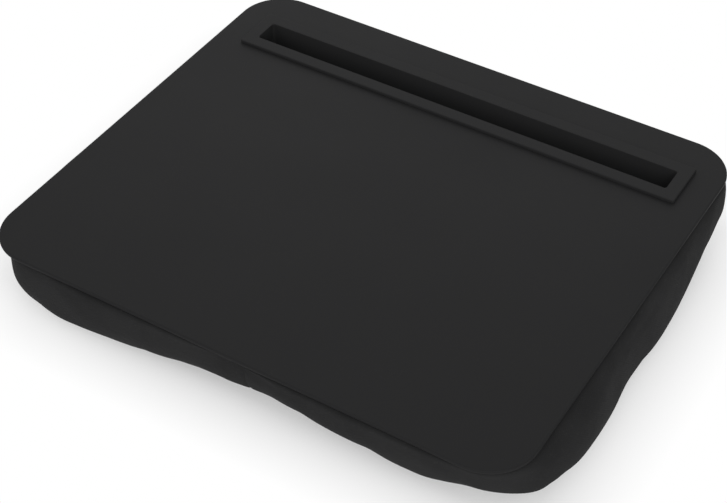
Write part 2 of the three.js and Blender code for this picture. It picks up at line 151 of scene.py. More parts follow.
def stand(name: str, data: bpy.types.ID, place: Vector, back: Vector) -> Object:
    """Stands a camera or a lamp in the scene.

    Args:
        name: Its name.
        data: What it is.
        place: Where it stands.
        back: The direction that it looks away from.

    Returns:
        Its object.
    """
    obj = link_new(name, data)
    obj.location = place
    obj.rotation_euler = back.to_track_quat("Z", "Y").to_euler()
    return obj


def new_object(name: str, bm: BMesh) -> Object:
    """Turns a bmesh into an object at the origin.

    Args:
        name: Name of the object and its mesh.
        bm: The mesh, which is freed.

    Returns:
        The new object, linked to the scene.
    """
    mesh = bpy.data.meshes.new(name)
    bm.to_mesh(mesh)
    bm.free()
    return link_new(name, mesh)


@contextmanager
def edited(obj: Object) -> Iterator[BMesh]:
    """Opens an object's mesh for changes and writes them back.

    Args:
        obj: The object.

    Yields:
        Its mesh.
    """
    bm = bmesh.new()
    bm.from_mesh(obj.data)
    yield bm
    bm.to_mesh(obj.data)
    bm.free()


def apply_modifiers(obj: Object) -> None:
    """Gives the object the mesh that its modifiers make, and removes them.

    Args:
        obj: The object.
    """
    depsgraph = bpy.context.evaluated_depsgraph_get()
    old = obj.data
    name = old.name
    made = bpy.data.meshes.new_from_object(
        obj.evaluated_get(depsgraph), preserve_all_data_layers=True, depsgraph=depsgraph
    )
    obj.modifiers.clear()
    obj.data = made
    bpy.data.meshes.remove(old)
    made.name = name


def combine(obj: Object, tool: Object, how: Combine) -> None:
    """Joins a tool solid to the object or cuts it out of it, and removes the tool.

    Args:
        obj: The piece that is changed.
        tool: The solid that is joined or cut.
        how: Whether it is joined or cut.
    """
    modifier = obj.modifiers.new(how.name, "BOOLEAN")
    modifier.operation = how.value
    modifier.solver = "EXACT"
    modifier.use_self = True
    modifier.object = tool
    apply_modifiers(obj)
    bpy.data.objects.remove(tool)


def add_box(bm: BMesh, low: Vector, high: Vector) -> None:
    """Adds a box between two corners.

    Args:
        bm: The mesh that gets it.
        low: Its lowest corner.
        high: Its highest corner.
    """
    made = bmesh.ops.create_cube(bm, size=1.0)
    bmesh.ops.scale(bm, vec=high - low, verts=made["verts"])
    bmesh.ops.translate(bm, vec=(low + high) / 2, verts=made["verts"])


def add_post(bm: BMesh, diameter: float, low: Vector, top: float, segments: int) -> None:
    """Adds an upright cylinder.

    Args:
        bm: The mesh that gets it.
        diameter: Its diameter.
        low: The middle of its lower face.
        top: Height of its upper face.
        segments: How many sides it has.
    """
    radius = diameter / 2
    height = top - low.z
    made = bmesh.ops.create_cone(
        bm, cap_ends=True, segments=segments, radius1=radius, radius2=radius, depth=height
    )
    bmesh.ops.translate(bm, vec=low + Vector((0, 0, height / 2)), verts=made["verts"])


def add_outline(bm: BMesh, half_width: float, half_depth: float, z: float) -> BMFace:
    """Adds a flat rectangle, centred on the origin, that faces up.

    Args:
        bm: The mesh that gets it.
        half_width: Half its size in X.
        half_depth: Half its size in Y.
        z: Its height.

    Returns:
        The rectangle's face.
    """
    signs = ((-1, -1), (1, -1), (1, 1), (-1, 1))
    corners = [bm.verts.new((x * half_width, y * half_depth, z)) for x, y in signs]
    return bm.faces.new(corners)


def only(kind: type, items: list) -> list:
    """Returns the items of one kind."""
    return [item for item in items if isinstance(item, kind)]


def extrude_face(bm: BMesh, face: BMFace, along: Vector) -> None:
    """Extrudes a face into a solid along a vector."""
    made = bmesh.ops.extrude_face_region(bm, geom=[face])
    bmesh.ops.translate(bm, vec=along, verts=only(BMVert, made["geom"]))


def carry_ring(bm: BMesh, ring: list[BMEdge], place: Callable[[BMVert], Vector]) -> list[BMEdge]:
    """Extrudes a ring of edges and places the new ring.

    Args:
        bm: The mesh that holds it.
        ring: The ring's edges.
        place: Works out where each point of the new ring goes.

    Returns:
        The new ring's edges.
    """
    made = bmesh.ops.extrude_edge_only(bm, edges=ring)["geom"]
    for vert in only(BMVert, made):
        vert.co = place(vert)
    return only(BMEdge, made)


def order_mesh(bm: BMesh) -> None:
    """Puts a mesh's edges and faces in the order of their points, because extruding leaves it to chance.

    Args:
        bm: The mesh.
    """
    bm.verts.index_update()
    count = len(bm.verts)

    def number(item: BMEdge | BMFace) -> int:
        """Returns a number of the edge's or face's first points, which it shares with no other."""
        return sum(i * count**power for power, i in enumerate(sorted(v.index for v in item.verts)[:3]))

    bm.edges.sort(key=number)
    bm.faces.sort(key=number)


def is_level(edge: BMEdge) -> bool:
    """Returns whether an edge's ends lie at one height."""
    return abs(edge.verts[0].co.z - edge.verts[1].co.z) < FIT_GAP


def round_corners(bm: BMesh, radius: float, segments: int) -> None:
    """Rounds every corner of a mesh that is one flat face.

    Args:
        bm: The mesh.
        radius: Radius of the rounding.
        segments: How many edges it has.
    """
    bmesh.ops.bevel(
        bm,
        geom=bm.verts[:],
        offset=radius,
        affect="VERTICES",
        segments=segments,
        profile=0.5,
        material=-1,
    )


def round_edges(bm: BMesh, edges: list[BMEdge], radius: float, segments: int) -> None:
    """Rounds the given edges.

    Args:
        bm: The mesh that holds them.
        edges: The edges to round.
        radius: Radius of the rounding.
        segments: How many faces it has.
    """
    bmesh.ops.bevel(
        bm,
        geom=edges,
        offset=radius,
        affect="EDGES",
        segments=segments,
        profile=0.5,
        material=-1,
        loop_slide=True,
    )


def shade_hard(obj: Object) -> None:
    """Shades a moulded piece smoothly, with its flat faces flat and its sharp edges sharp.

    Args:
        obj: The piece.
    """
    obj.data.shade_smooth()
    obj.data.set_sharp_from_angle(angle=HARD_ANGLE)
    modifier = obj.modifiers.new("Flat faces", "WEIGHTED_NORMAL")
    modifier.keep_sharp = True


# Shader helpers


class Graph:
    """Adds nodes to a node tree and joins them."""

    def __init__(self, tree: NodeTree) -> None:
        """Starts from an empty tree."""
        self.tree = tree
        tree.nodes.clear()

    def add(self, kind: str, inputs: dict | None = None, **settings: object) -> Node:
        """Adds a node.

        Args:
            kind: The node's type.
            inputs: Values or sockets for its inputs, by name or index.
            settings: Values for its own properties.

        Returns:
            The node.
        """
        node = self.tree.nodes.new(kind)
        for name, value in settings.items():
            setattr(node, name, value)
        for key, value in (inputs or {}).items():
            if isinstance(value, NodeSocket):
                self.tree.links.new(value, node.inputs[key])
            else:
                node.inputs[key].default_value = value
        return node

    def place(self, kind: str = "Object") -> NodeSocket:
        """Returns one of the piece's own coordinates."""
        return self.add("ShaderNodeTexCoord").outputs[kind]

    def group(self, tree: NodeTree, inputs: dict) -> NodeOutputs:
        """Places a shader group, and returns its outputs."""
        return self.add("ShaderNodeGroup", inputs, node_tree=tree).outputs

    def math(self, operation: str, *values: object) -> NodeSocket:
        """Returns the result of a Math node on the given values or sockets."""
        return self.add("ShaderNodeMath", dict(enumerate(values)), operation=operation).outputs[0]

    def total(self, values: list[NodeSocket]) -> NodeSocket:
        """Returns the sum of three values."""
        return self.math("ADD", self.math("ADD", values[0], values[1]), values[2])

    def vector(self, operation: str, *values: object) -> NodeOutputs:
        """Returns the results of a Vector Math node on the given values or sockets."""
        return self.add("ShaderNodeVectorMath", dict(enumerate(values)), operation=operation).outputs

    def noise(self, vector: NodeSocket, scale: object, detail: float) -> NodeSocket:
        """Returns the value of a Noise texture."""
        inputs = {"Vector": vector, "Scale": scale, "Detail": detail}
        return self.add("ShaderNodeTexNoise", inputs).outputs["Fac"]

    def cells(self, vector: NodeSocket, scale: object) -> NodeSocket:
        """Returns the distance to the middle of a Voronoi texture's cell."""
        return self.add("ShaderNodeTexVoronoi", {"Vector": vector, "Scale": scale}).outputs["Distance"]

    def span(self, value: NodeSocket, source: Span, target: Span) -> NodeSocket:
        """Carries a value from one range to another.

        Args:
            value: The value.
            source: The range that it comes from, past whose ends it is held.
            target: The range that it goes to.

        Returns:
            The new value.
        """
        inputs = {
            "Value": value,
            "From Min": source[0],
            "From Max": source[1],
            "To Min": target[0],
            "To Max": target[1],
        }
        return self.add("ShaderNodeMapRange", inputs).outputs["Result"]

    def blend(self, share: NodeSocket, first: object, second: object) -> NodeSocket:
        """Returns a colour between two colours or colour sockets."""
        ends = [(*c, 1.0) if isinstance(c, tuple) else c for c in (first, second)]
        return self.add("ShaderNodeMix", {0: share, 6: ends[0], 7: ends[1]}, data_type="RGBA").outputs[2]

    def bump(self, height: NodeSocket, depth: float, normal: NodeSocket | None = None) -> NodeSocket:
        """Bends the surface's normal by a height.

        Args:
            height: The height, from 0 to 1.
            depth: How deep a height of 1 is.
            normal: The normal that is bent, if not the surface's own.

        Returns:
            The bent normal.
        """
        inputs = {"Height": height, "Distance": depth, "Strength": 1.0}
        if normal is not None:
            inputs["Normal"] = normal
        return self.add("ShaderNodeBump", inputs).outputs["Normal"]

    def put_out(self, shader: Node) -> None:
        """Joins a shader to the material's output."""
        self.add("ShaderNodeOutputMaterial", {"Surface": shader.outputs[0]})


def new_group(
    name: str, inputs: dict[str, str], outputs: list[str]
) -> tuple[NodeTree, Graph, NodeOutputs]:
    """Makes an empty shader group.

    Args:
        name: Its name.
        inputs: The socket type of each input, by name.
        outputs: The names of its outputs, which are plain values.

    Returns:
        The group's tree, its graph and what is given to it.
    """
    tree = bpy.data.node_groups.new(name, "ShaderNodeTree")
    for socket, kind in inputs.items():
        tree.interface.new_socket(socket, in_out="INPUT", socket_type=kind)
    for socket in outputs:
        tree.interface.new_socket(socket, in_out="OUTPUT", socket_type=VALUE)
    graph = Graph(tree)
    return tree, graph, graph.add("NodeGroupInput").outputs


class Groups:
    """The shader groups that more than one finish uses."""

    cell_share: float = 0.5  # how deep the cells are beside the fine grain
    slub_scale: float = 260.0
    weave_share: float = 0.5  # how deep the threads are beside the slubs
    facing_power: float = 4.0  # how soon the weave turns from one pair of axes to the next
    speck_edge: Span = (0.05, 0.12)
    sparse_scale: float = 35.0
    sparse_share: Span = (0.5, 0.75)

    def __init__(self) -> None:
        """Builds each group once."""
        self.grain = self.moulded_grain()
        self.weave = self.plain_weave()
        self.dust = self.settled_dust()

    def moulded_grain(self) -> NodeTree:
        """Builds the fine grain of a mould's face, with slow changes of tone over it.

        Returns:
            The group.
        """
        inputs = {"Vector": VECTOR, "Grain": VALUE, "Patch": VALUE}
        tree, graph, given = new_group("moulded_grain", inputs, ["Height", "Tone"])
        fine = graph.noise(given["Vector"], given["Grain"], detail=2.0)
        cells = graph.cells(given["Vector"], given["Grain"])
        height = graph.math("MULTIPLY_ADD", cells, self.cell_share, fine)
        tone = graph.noise(given["Vector"], given["Patch"], detail=3.0)
        graph.add("NodeGroupOutput", {"Height": height, "Tone": tone})
        return tree

    def plain_weave(self) -> NodeTree:
        """Builds a plain weave that lies along whichever two axes the surface faces least.

        Returns:
            The group.
        """
        inputs = {"Vector": VECTOR, "Facing": VECTOR, "Threads": VALUE}
        tree, graph, given = new_group("plain_weave", inputs, ["Height", "Slub"])
        slub = graph.noise(given["Vector"], self.slub_scale, detail=3.0)
        turns = graph.math("MULTIPLY", given["Threads"], math.pi)
        scaled = graph.add(
            "ShaderNodeVectorMath", {0: given["Vector"], "Scale": turns}, operation="SCALE"
        )
        parts = graph.add("ShaderNodeSeparateXYZ", {0: scaled.outputs[0]}).outputs
        waves = [graph.math("SINE", part) for part in parts]
        sides = graph.add("ShaderNodeSeparateXYZ", {0: given["Facing"]}).outputs
        level = [graph.math("ABSOLUTE", side) for side in sides]
        shares = [graph.math("POWER", side, self.facing_power) for side in level]
        planes = [
            graph.math("MULTIPLY", graph.math("MULTIPLY", waves[i - 2], waves[i - 1]), shares[i])
            for i in range(3)
        ]
        woven = graph.math("DIVIDE", graph.total(planes), graph.total(shares))
        height = graph.math("MULTIPLY_ADD", woven, self.weave_share, slub)
        graph.add("NodeGroupOutput", {"Height": height, "Slub": slub})
        return tree

    def settled_dust(self) -> NodeTree:
        """Builds a mask of sparse fine specks.

        Returns:
            The group.
        """
        tree, graph, given = new_group("settled_dust", {"Vector": VECTOR, "Density": VALUE}, ["Specks"])
        near = graph.span(graph.cells(given["Vector"], given["Density"]), self.speck_edge, (1.0, 0.0))
        patches = graph.noise(given["Vector"], self.sparse_scale, detail=2.0)
        sparse = graph.span(patches, self.sparse_share, FULL)
        graph.add("NodeGroupOutput", {"Specks": graph.math("MULTIPLY", near, sparse)})
        return tree


def new_material(name: str) -> tuple[Material, Graph]:
    """Makes an empty material.

    Args:
        name: Its name.

    Returns:
        The material and its graph.
    """
    material = bpy.data.materials.new(name)
    material.use_nodes = True
    return material, Graph(material.node_tree)


# Finishes


@dataclass(frozen=True)
class Finish:
    """A finish, whose material has one Principled shader."""

    def material(self, name: str, groups: Groups) -> Material:
        """Builds the finish's material.

        Args:
            name: The material's name.
            groups: The shared shader groups.

        Returns:
            The material.
        """
        material, graph = new_material(name)
        graph.put_out(graph.add("ShaderNodeBsdfPrincipled", self.inputs(graph, groups)))
        return material

    def inputs(self, graph: Graph, groups: Groups) -> dict[str, object]:
        """Works out what goes into the shader.

        Args:
            graph: The material's graph.
            groups: The shared shader groups.

        Returns:
            Values and sockets for the shader's inputs, by name.
        """
        raise NotImplementedError


@dataclass(frozen=True)
class MouldedPlastic(Finish):
    """Black moulded plastic with a fine matte grain."""

    colour: Colour
    specular: float
    grain_size: float
    grain_depth: float
    roughness: Span = (0.51, 0.59)
    patch_scale: float = 9.0
    patch_lift: float = 1.12  # how much lighter the palest patches are
    dust_scale: float = 420.0
    dust_share: float = 0.12
    dust_colour: Colour = (0.3, 0.3, 0.3)

    def inputs(self, graph: Graph, groups: Groups) -> dict[str, object]:
        """Works out the plastic's shader inputs.

        Args:
            graph: The material's graph.
            groups: The shared shader groups.

        Returns:
            Values and sockets for the shader's inputs, by name.
        """
        place = graph.place()
        sizes = {"Vector": place, "Grain": 1 / self.grain_size, "Patch": self.patch_scale}
        grain = graph.group(groups.grain, sizes)
        dust = graph.group(groups.dust, {"Vector": place, "Density": self.dust_scale})
        light = tuple(c * self.patch_lift for c in self.colour)
        tone = graph.blend(grain["Tone"], self.colour, light)
        specks = graph.math("MULTIPLY", dust["Specks"], self.dust_share)
        return {
            "Base Color": graph.blend(specks, tone, self.dust_colour),
            "Roughness": graph.span(grain["Tone"], MOST, self.roughness),
            "Specular IOR Level": self.specular,
            "Normal": graph.bump(grain["Height"], self.grain_depth),
        }


@dataclass(frozen=True)
class CoverFabric(Finish):
    """Matte black woven cover."""

    dark: Colour
    light: Colour
    thread: float
    weave_depth: float
    roughness: Span = (0.86, 0.98)
    specular: float = 0.04
    sheen: float = 0.01
    sheen_roughness: float = 0.5
    patch_scale: float = 26.0
    slub_range: Span = (0.2, 0.8)
    lint_scale: float = 900.0
    lint_range: Span = (0.6, 0.8)
    lint_share: float = 0.1
    lint_colour: Colour = (0.12, 0.12, 0.12)
    ripple_scale: float = 95.0
    ripple_depth: float = 0.5 * MM

    def inputs(self, graph: Graph, groups: Groups) -> dict[str, object]:
        """Works out the fabric's shader inputs.

        Args:
            graph: The material's graph.
            groups: The shared shader groups.

        Returns:
            Values and sockets for the shader's inputs, by name.
        """
        place = graph.place()
        sizes = {"Vector": place, "Facing": graph.place("Normal"), "Threads": 1 / self.thread}
        weave = graph.group(groups.weave, sizes)
        wear = graph.span(graph.noise(place, self.patch_scale, detail=4.0), MOST, FULL)
        cloth = graph.blend(wear, self.dark, self.light)
        threads = graph.span(graph.noise(place, self.lint_scale, detail=2.0), self.lint_range, FULL)
        lint = graph.math("MULTIPLY", threads, self.lint_share)
        ripple = graph.bump(graph.noise(place, self.ripple_scale, detail=3.0), self.ripple_depth)
        return {
            "Base Color": graph.blend(lint, cloth, self.lint_colour),
            "Roughness": graph.span(weave["Slub"], self.slub_range, self.roughness),
            "Specular IOR Level": self.specular,
            "Sheen Weight": self.sheen,
            "Sheen Roughness": self.sheen_roughness,
            "Normal": graph.bump(weave["Height"], self.weave_depth, ripple),
        }


@dataclass(frozen=True)
class Hardboard(Finish):
    """Brown pressed-fibre board."""

    dark: Colour
    light: Colour
    roughness: Span = (0.72, 0.9)
    fibre_scale: float = 700.0
    fibre_stretch: Colour = (1.0, 0.2, 1.0)
    grain_scale: float = 900.0
    patch_scale: float = 14.0
    grain_depth: float = 0.08 * MM

    def inputs(self, graph: Graph, groups: Groups) -> dict[str, object]:
        """Works out the board's shader inputs.

        Args:
            graph: The material's graph.
            groups: The shared shader groups.

        Returns:
            Values and sockets for the shader's inputs, by name.
        """
        place = graph.place()
        stretched = graph.add("ShaderNodeMapping", {"Vector": place, "Scale": self.fibre_stretch})
        fibres = graph.noise(stretched.outputs["Vector"], self.fibre_scale, detail=5.0)
        sizes = {"Vector": place, "Grain": self.grain_scale, "Patch": self.patch_scale}
        grain = graph.group(groups.grain, sizes)
        return {
            "Base Color": graph.blend(graph.span(fibres, MOST, FULL), self.dark, self.light),
            "Roughness": graph.span(grain["Tone"], MOST, self.roughness),
            "Normal": graph.bump(grain["Height"], self.grain_depth),
        }


@dataclass(frozen=True)
class ZincSteel(Finish):
    """Zinc-plated steel with a cloudy bright face."""

    dark: Colour
    light: Colour
    roughness: Span = (0.28, 0.46)
    grain_scale: float = 2500.0
    patch_scale: float = 300.0
    grain_depth: float = 0.01 * MM

    def inputs(self, graph: Graph, groups: Groups) -> dict[str, object]:
        """Works out the steel's shader inputs.

        Args:
            graph: The material's graph.
            groups: The shared shader groups.

        Returns:
            Values and sockets for the shader's inputs, by name.
        """
        sizes = {"Vector": graph.place(), "Grain": self.grain_scale, "Patch": self.patch_scale}
        grain = graph.group(groups.grain, sizes)
        return {
            "Base Color": graph.blend(grain["Tone"], self.dark, self.light),
            "Metallic": 1.0,
            "Roughness": graph.span(grain["Tone"], MOST, self.roughness),
            "Normal": graph.bump(grain["Height"], self.grain_depth),
        }


@dataclass(frozen=True)
class BeadLiner(Finish):
    """Thin pale liner with the beads showing through as low bumps."""

    dark: Colour
    light: Colour
    roughness: Span = (0.82, 0.95)
    threads: float = 1400.0
    weave_depth: float = 0.05 * MM
    bead_scale: float = 280.0
    bead_range: Span = (0.0, 0.6)
    bead_depth: float = 0.6 * MM

    def inputs(self, graph: Graph, groups: Groups) -> dict[str, object]:
        """Works out the liner's shader inputs.

        Args:
            graph: The material's graph.
            groups: The shared shader groups.

        Returns:
            Values and sockets for the shader's inputs, by name.
        """
        place = graph.place()
        sizes = {"Vector": place, "Facing": graph.place("Normal"), "Threads": self.threads}
        weave = graph.group(groups.weave, sizes)
        beads = graph.cells(place, self.bead_scale)
        lumps = graph.bump(graph.math("SUBTRACT", 1.0, beads), self.bead_depth)
        return {
            "Base Color": graph.blend(graph.span(weave["Slub"], MOST, FULL), self.dark, self.light),
            "Roughness": graph.span(beads, self.bead_range, self.roughness),
            "Normal": graph.bump(weave["Height"], self.weave_depth, lumps),
        }


FINISHES: dict[Slot, Finish] = {
    Slot.TRAY_PLASTIC: MouldedPlastic(
        colour=(0.0142, 0.0142, 0.0145), specular=0.05, grain_size=0.5 * MM, grain_depth=0.02 * MM
    ),
    Slot.SLOT_PLASTIC: MouldedPlastic(
        colour=(0.0192, 0.0192, 0.0195), specular=0.03, grain_size=0.4 * MM, grain_depth=0.012 * MM
    ),
    Slot.HARDBOARD: Hardboard(dark=(0.07, 0.032, 0.014), light=(0.2, 0.11, 0.055)),
    Slot.SCREW_STEEL: ZincSteel(dark=(0.42, 0.44, 0.47), light=(0.62, 0.63, 0.64)),
    Slot.COVER_FABRIC: CoverFabric(
        dark=(0.0163, 0.0163, 0.0166),
        light=(0.022, 0.022, 0.0223),
        thread=0.9 * MM,
        weave_depth=0.12 * MM,
    ),
    Slot.BEAD_LINER: BeadLiner(dark=(0.66, 0.64, 0.6), light=(0.8, 0.79, 0.76)),
}


# Sub-assemblies


@dataclass
class SubAssembly:
    """What every sub-assembly shares: it builds its pieces and dresses them."""

    materials: dict[Slot, Material]

    def build(self) -> list[Object]:
        """Builds and dresses the sub-assembly's pieces, and returns them."""
        raise NotImplementedError

    def dress(self, obj: Object, slot: Slot) -> None:
        """Gives a piece the material of the record's slot that it stands for.

        Args:
            obj: The piece.
            slot: The record's slot.
        """
        obj.data.materials.clear()
        obj.data.materials.append(self.materials[slot])


@dataclass
class Tray(SubAssembly):
    """The moulded tray: a thin sheet with rounded corners, ribs and screw bosses below."""

    screws: list[Vector]
    corner_radius: float = 32 * MM
    corner_segments: int = 24
    thickness: float = 3 * MM
    edge_round: float = 1.1 * MM
    edge_segments: int = 5
    rib_width: float = 3 * MM
    rib_bottom: float = 57.5 * MM
    rib_inset: float = 28 * MM
    boss_diameter: float = 7.5 * MM
    boss_bottom: float = 54.5 * MM
    pilot_diameter: float = 4.1 * MM
    pilot_roof: float = 1.8 * MM
    post_segments: int = 32
    trough_inset: float = 7.5 * MM  # from the slot flange's edge to the trough's outside
    trough_room: float = 3 * MM  # from the ribs' ends to the trough

    def build(self) -> list[Object]:
        """Builds the tray from its sheet, ribs, bosses and cut-outs.

        Returns:
            The tray.
        """
        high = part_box("tray_top")[1]
        obj = new_object("tray_top_moulding", self.sheet(high))
        combine(obj, new_object("tray_ribs", self.ribs(high)), Combine.JOIN)
        combine(obj, new_object("tray_cuts", self.cuts(high)), Combine.CUT)
        shade_hard(obj)
        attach(obj, Body.TRAY.value)
        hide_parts("tray_top")
        self.dress(obj, Slot.TRAY_PLASTIC)
        return [obj]

    def sheet(self, high: Vector) -> BMesh:
        """Builds the flat sheet with its round corners and edges.

        Args:
            high: Highest corner of the tray's box.

        Returns:
            The sheet's mesh.
        """
        bm = bmesh.new()
        add_outline(bm, high.x, high.y, high.z - self.thickness)
        round_corners(bm, self.corner_radius, self.corner_segments)
        extrude_face(bm, bm.faces[:][0], Vector((0, 0, self.thickness)))
        bmesh.ops.recalc_face_normals(bm, faces=bm.faces[:])
        rims = [edge for edge in bm.edges if is_level(edge)]
        round_edges(bm, rims, self.edge_round, self.edge_segments)
        return bm

    def ribs(self, high: Vector) -> BMesh:
        """Builds the ribs between the screws and the bosses round them.

        Args:
            high: Highest corner of the tray's box.

        Returns:
            Their mesh.
        """
        bm = bmesh.new()
        root = high.z - self.thickness / 2
        reach_x = high.x - self.rib_inset
        front = self.rib_inset - high.y
        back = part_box("slot_insert")[0].y + self.trough_inset - self.trough_room
        half = self.rib_width / 2
        rows = sorted({round(place.y, 5) for place in self.screws})
        column = max(place.x for place in self.screws)
        for first, second in zip(rows, rows[1:]):
            y = (first + second) / 2
            add_box(bm, Vector((-reach_x, y - half, self.rib_bottom)), Vector((reach_x, y + half, root)))
        for x in (-column / 2, column / 2):
            add_box(bm, Vector((x - half, front, self.rib_bottom)), Vector((x + half, back, root)))
        for place in self.screws:
            low = Vector((place.x, place.y, self.boss_bottom))
            add_post(bm, self.boss_diameter, low, root, self.post_segments)
        return bm

    def cuts(self, high: Vector) -> BMesh:
        """Builds the solids that cut the trough's opening and the pilot holes.

        Args:
            high: Highest corner of the tray's box.

        Returns:
            Their mesh.
        """
        bm = bmesh.new()
        low_slot, high_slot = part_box("slot_insert")
        inset = self.trough_inset - FIT_GAP
        shift = Vector((inset, inset, 0))
        low = low_slot + shift
        top = high_slot - shift
        low.z = self.boss_bottom
        top.z = high.z + CUT_SPARE
        add_box(bm, low, top)
        for place in self.screws:
            start = Vector((place.x, place.y, self.boss_bottom - CUT_SPARE))
            add_post(bm, self.pilot_diameter, start, high.z - self.pilot_roof, self.post_segments)
        return bm


@dataclass
class SlotInsert(SubAssembly):
    """The tablet slot: a trough that hangs in the tray on a flat flange."""

    flange_reach: float = 9.5 * MM  # from the slot's inside wall to the flange's edge
    flange_height: float = 2.2 * MM
    flange_corner: float = 1.5 * MM
    flange_round: float = 0.7 * MM
    mouth_round: float = 0.6 * MM
    wall: float = 2 * MM
    inside_corner: float = 2 * MM
    floor_round: float = 1 * MM
    barb_count: int = 4
    barb_length: float = 14 * MM
    barb_reach: float = 1 * MM
    barb_height: float = 4 * MM
    sheet_thickness: float = 3 * MM  # of the tray, between the flange and the barbs
    corner_segments: int = 6
    rim_segments: int = 3

    def build(self) -> list[Object]:
        """Builds the insert and its snap barbs.

        Returns:
            The insert.
        """
        obj = new_object("slot_insert_moulding", self.shell())
        combine(obj, new_object("slot_barbs", self.barbs()), Combine.JOIN)
        shade_hard(obj)
        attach(obj, Body.TRAY.value)
        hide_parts("slot_insert")
        self.dress(obj, Slot.SLOT_PLASTIC)
        return [obj]

    def shell(self) -> BMesh:
        """Builds the trough and its flange as one closed shell.

        Returns:
            The shell's mesh.
        """
        low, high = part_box("slot_insert")
        middle = (low + high) / 2
        half = (high - low) / 2
        flange_bottom = high.z - self.flange_height
        floor = low.z + self.wall
        outside = self.flange_reach - self.wall
        bm = bmesh.new()
        loop = list(add_outline(bm, half.x - outside, half.y - outside, low.z).edges)
        steps = (
            (outside, flange_bottom),
            (0.0, flange_bottom),
            (0.0, high.z),
            (self.flange_reach, high.z),
            (self.flange_reach, floor),
        )
        for inset, z in steps:
            corner = Vector((half.x - inset, half.y - inset, z))
            loop = carry_ring(bm, loop, lambda vert: self.corner_place(vert, corner))
        bmesh.ops.contextual_create(bm, geom=loop)
        bmesh.ops.recalc_face_normals(bm, faces=bm.faces[:])
        order_mesh(bm)
        self.round_upright(bm, half.x - self.flange_reach, self.inside_corner)
        self.round_upright(bm, half.x, self.flange_corner)
        self.round_upright(bm, half.x - outside, self.inside_corner + self.wall)
        rims = (
            (0.0, high.z, self.flange_round),
            (self.flange_reach, high.z, self.mouth_round),
            (self.flange_reach, floor, self.floor_round),
        )
        for inset, z, radius in rims:
            round_edges(bm, self.rim(bm, half, inset, z), radius, self.rim_segments)
        bmesh.ops.translate(bm, vec=(middle.x, middle.y, 0), verts=bm.verts[:])
        return bm

    @staticmethod
    def corner_place(vert: BMVert, corner: Vector) -> Vector:
        """Returns the corner of a rectangle that lies on the same side as a point."""
        return Vector((math.copysign(corner.x, vert.co.x), math.copysign(corner.y, vert.co.y), corner.z))

    def round_upright(self, bm: BMesh, x: float, radius: float) -> None:
        """Rounds the upright corner edges that stand at a distance from the middle.

        Args:
            bm: The mesh that holds them.
            x: Their distance in X.
            radius: Radius of the rounding.
        """
        edges = [
            edge
            for edge in bm.edges
            if not is_level(edge) and all(abs(abs(vert.co.x) - x) < FIT_GAP / 2 for vert in edge.verts)
        ]
        round_edges(bm, edges, radius, self.corner_segments)

    def rim(self, bm: BMesh, half: Vector, inset: float, z: float) -> list[BMEdge]:
        """Finds the level edges of one outline.

        Args:
            bm: The mesh that holds them.
            half: Half the flange's size.
            inset: How far the outline lies in from the flange's edge.
            z: Its height.

        Returns:
            The outline's edges.
        """

        def on_outline(vert: BMVert) -> bool:
            """Returns whether a point lies on the outline."""
            gap = min(half.x - abs(vert.co.x), half.y - abs(vert.co.y))
            return abs(vert.co.z - z) < FIT_GAP / 2 and abs(gap - inset) < self.inside_corner / 2

        return [edge for edge in bm.edges if all(on_outline(vert) for vert in edge.verts)]

    def barbs(self) -> BMesh:
        """Builds the snap barbs that hold the trough under the tray's sheet.

        Returns:
            Their mesh.
        """
        low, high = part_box("slot_insert")
        top = high.z - self.flange_height - self.sheet_thickness - 2 * FIT_GAP
        length = high.x - low.x - 2 * self.flange_reach
        pitch = length / self.barb_count
        bm = bmesh.new()
        for wall, outward in ((low.y, -1), (high.y, 1)):
            face_y = wall - outward * (self.flange_reach - self.wall)
            root = face_y - outward * self.wall / 2
            profile = (
                (root, top),
                (face_y + outward * self.barb_reach, top),
                (face_y, top - self.barb_height),
                (root, top - self.barb_height),
            )
            for i in range(self.barb_count):
                x = (i + 0.5) * pitch - length / 2 - self.barb_length / 2
                face = bm.faces.new([bm.verts.new((x, y, z)) for y, z in profile])
                extrude_face(bm, face, Vector((self.barb_length, 0, 0)))
        bmesh.ops.recalc_face_normals(bm, faces=bm.faces[:])
        return bm


@dataclass(frozen=True)
class Dent:
    """A soft dent in the cover, or a swelling where its depth is below zero."""

    place: Vector
    reach: float
    depth: float

    def pull(self, point: Vector) -> float:
        """Returns how far the dent draws a point in."""
        return self.depth * bell((point - self.place).length, self.reach)


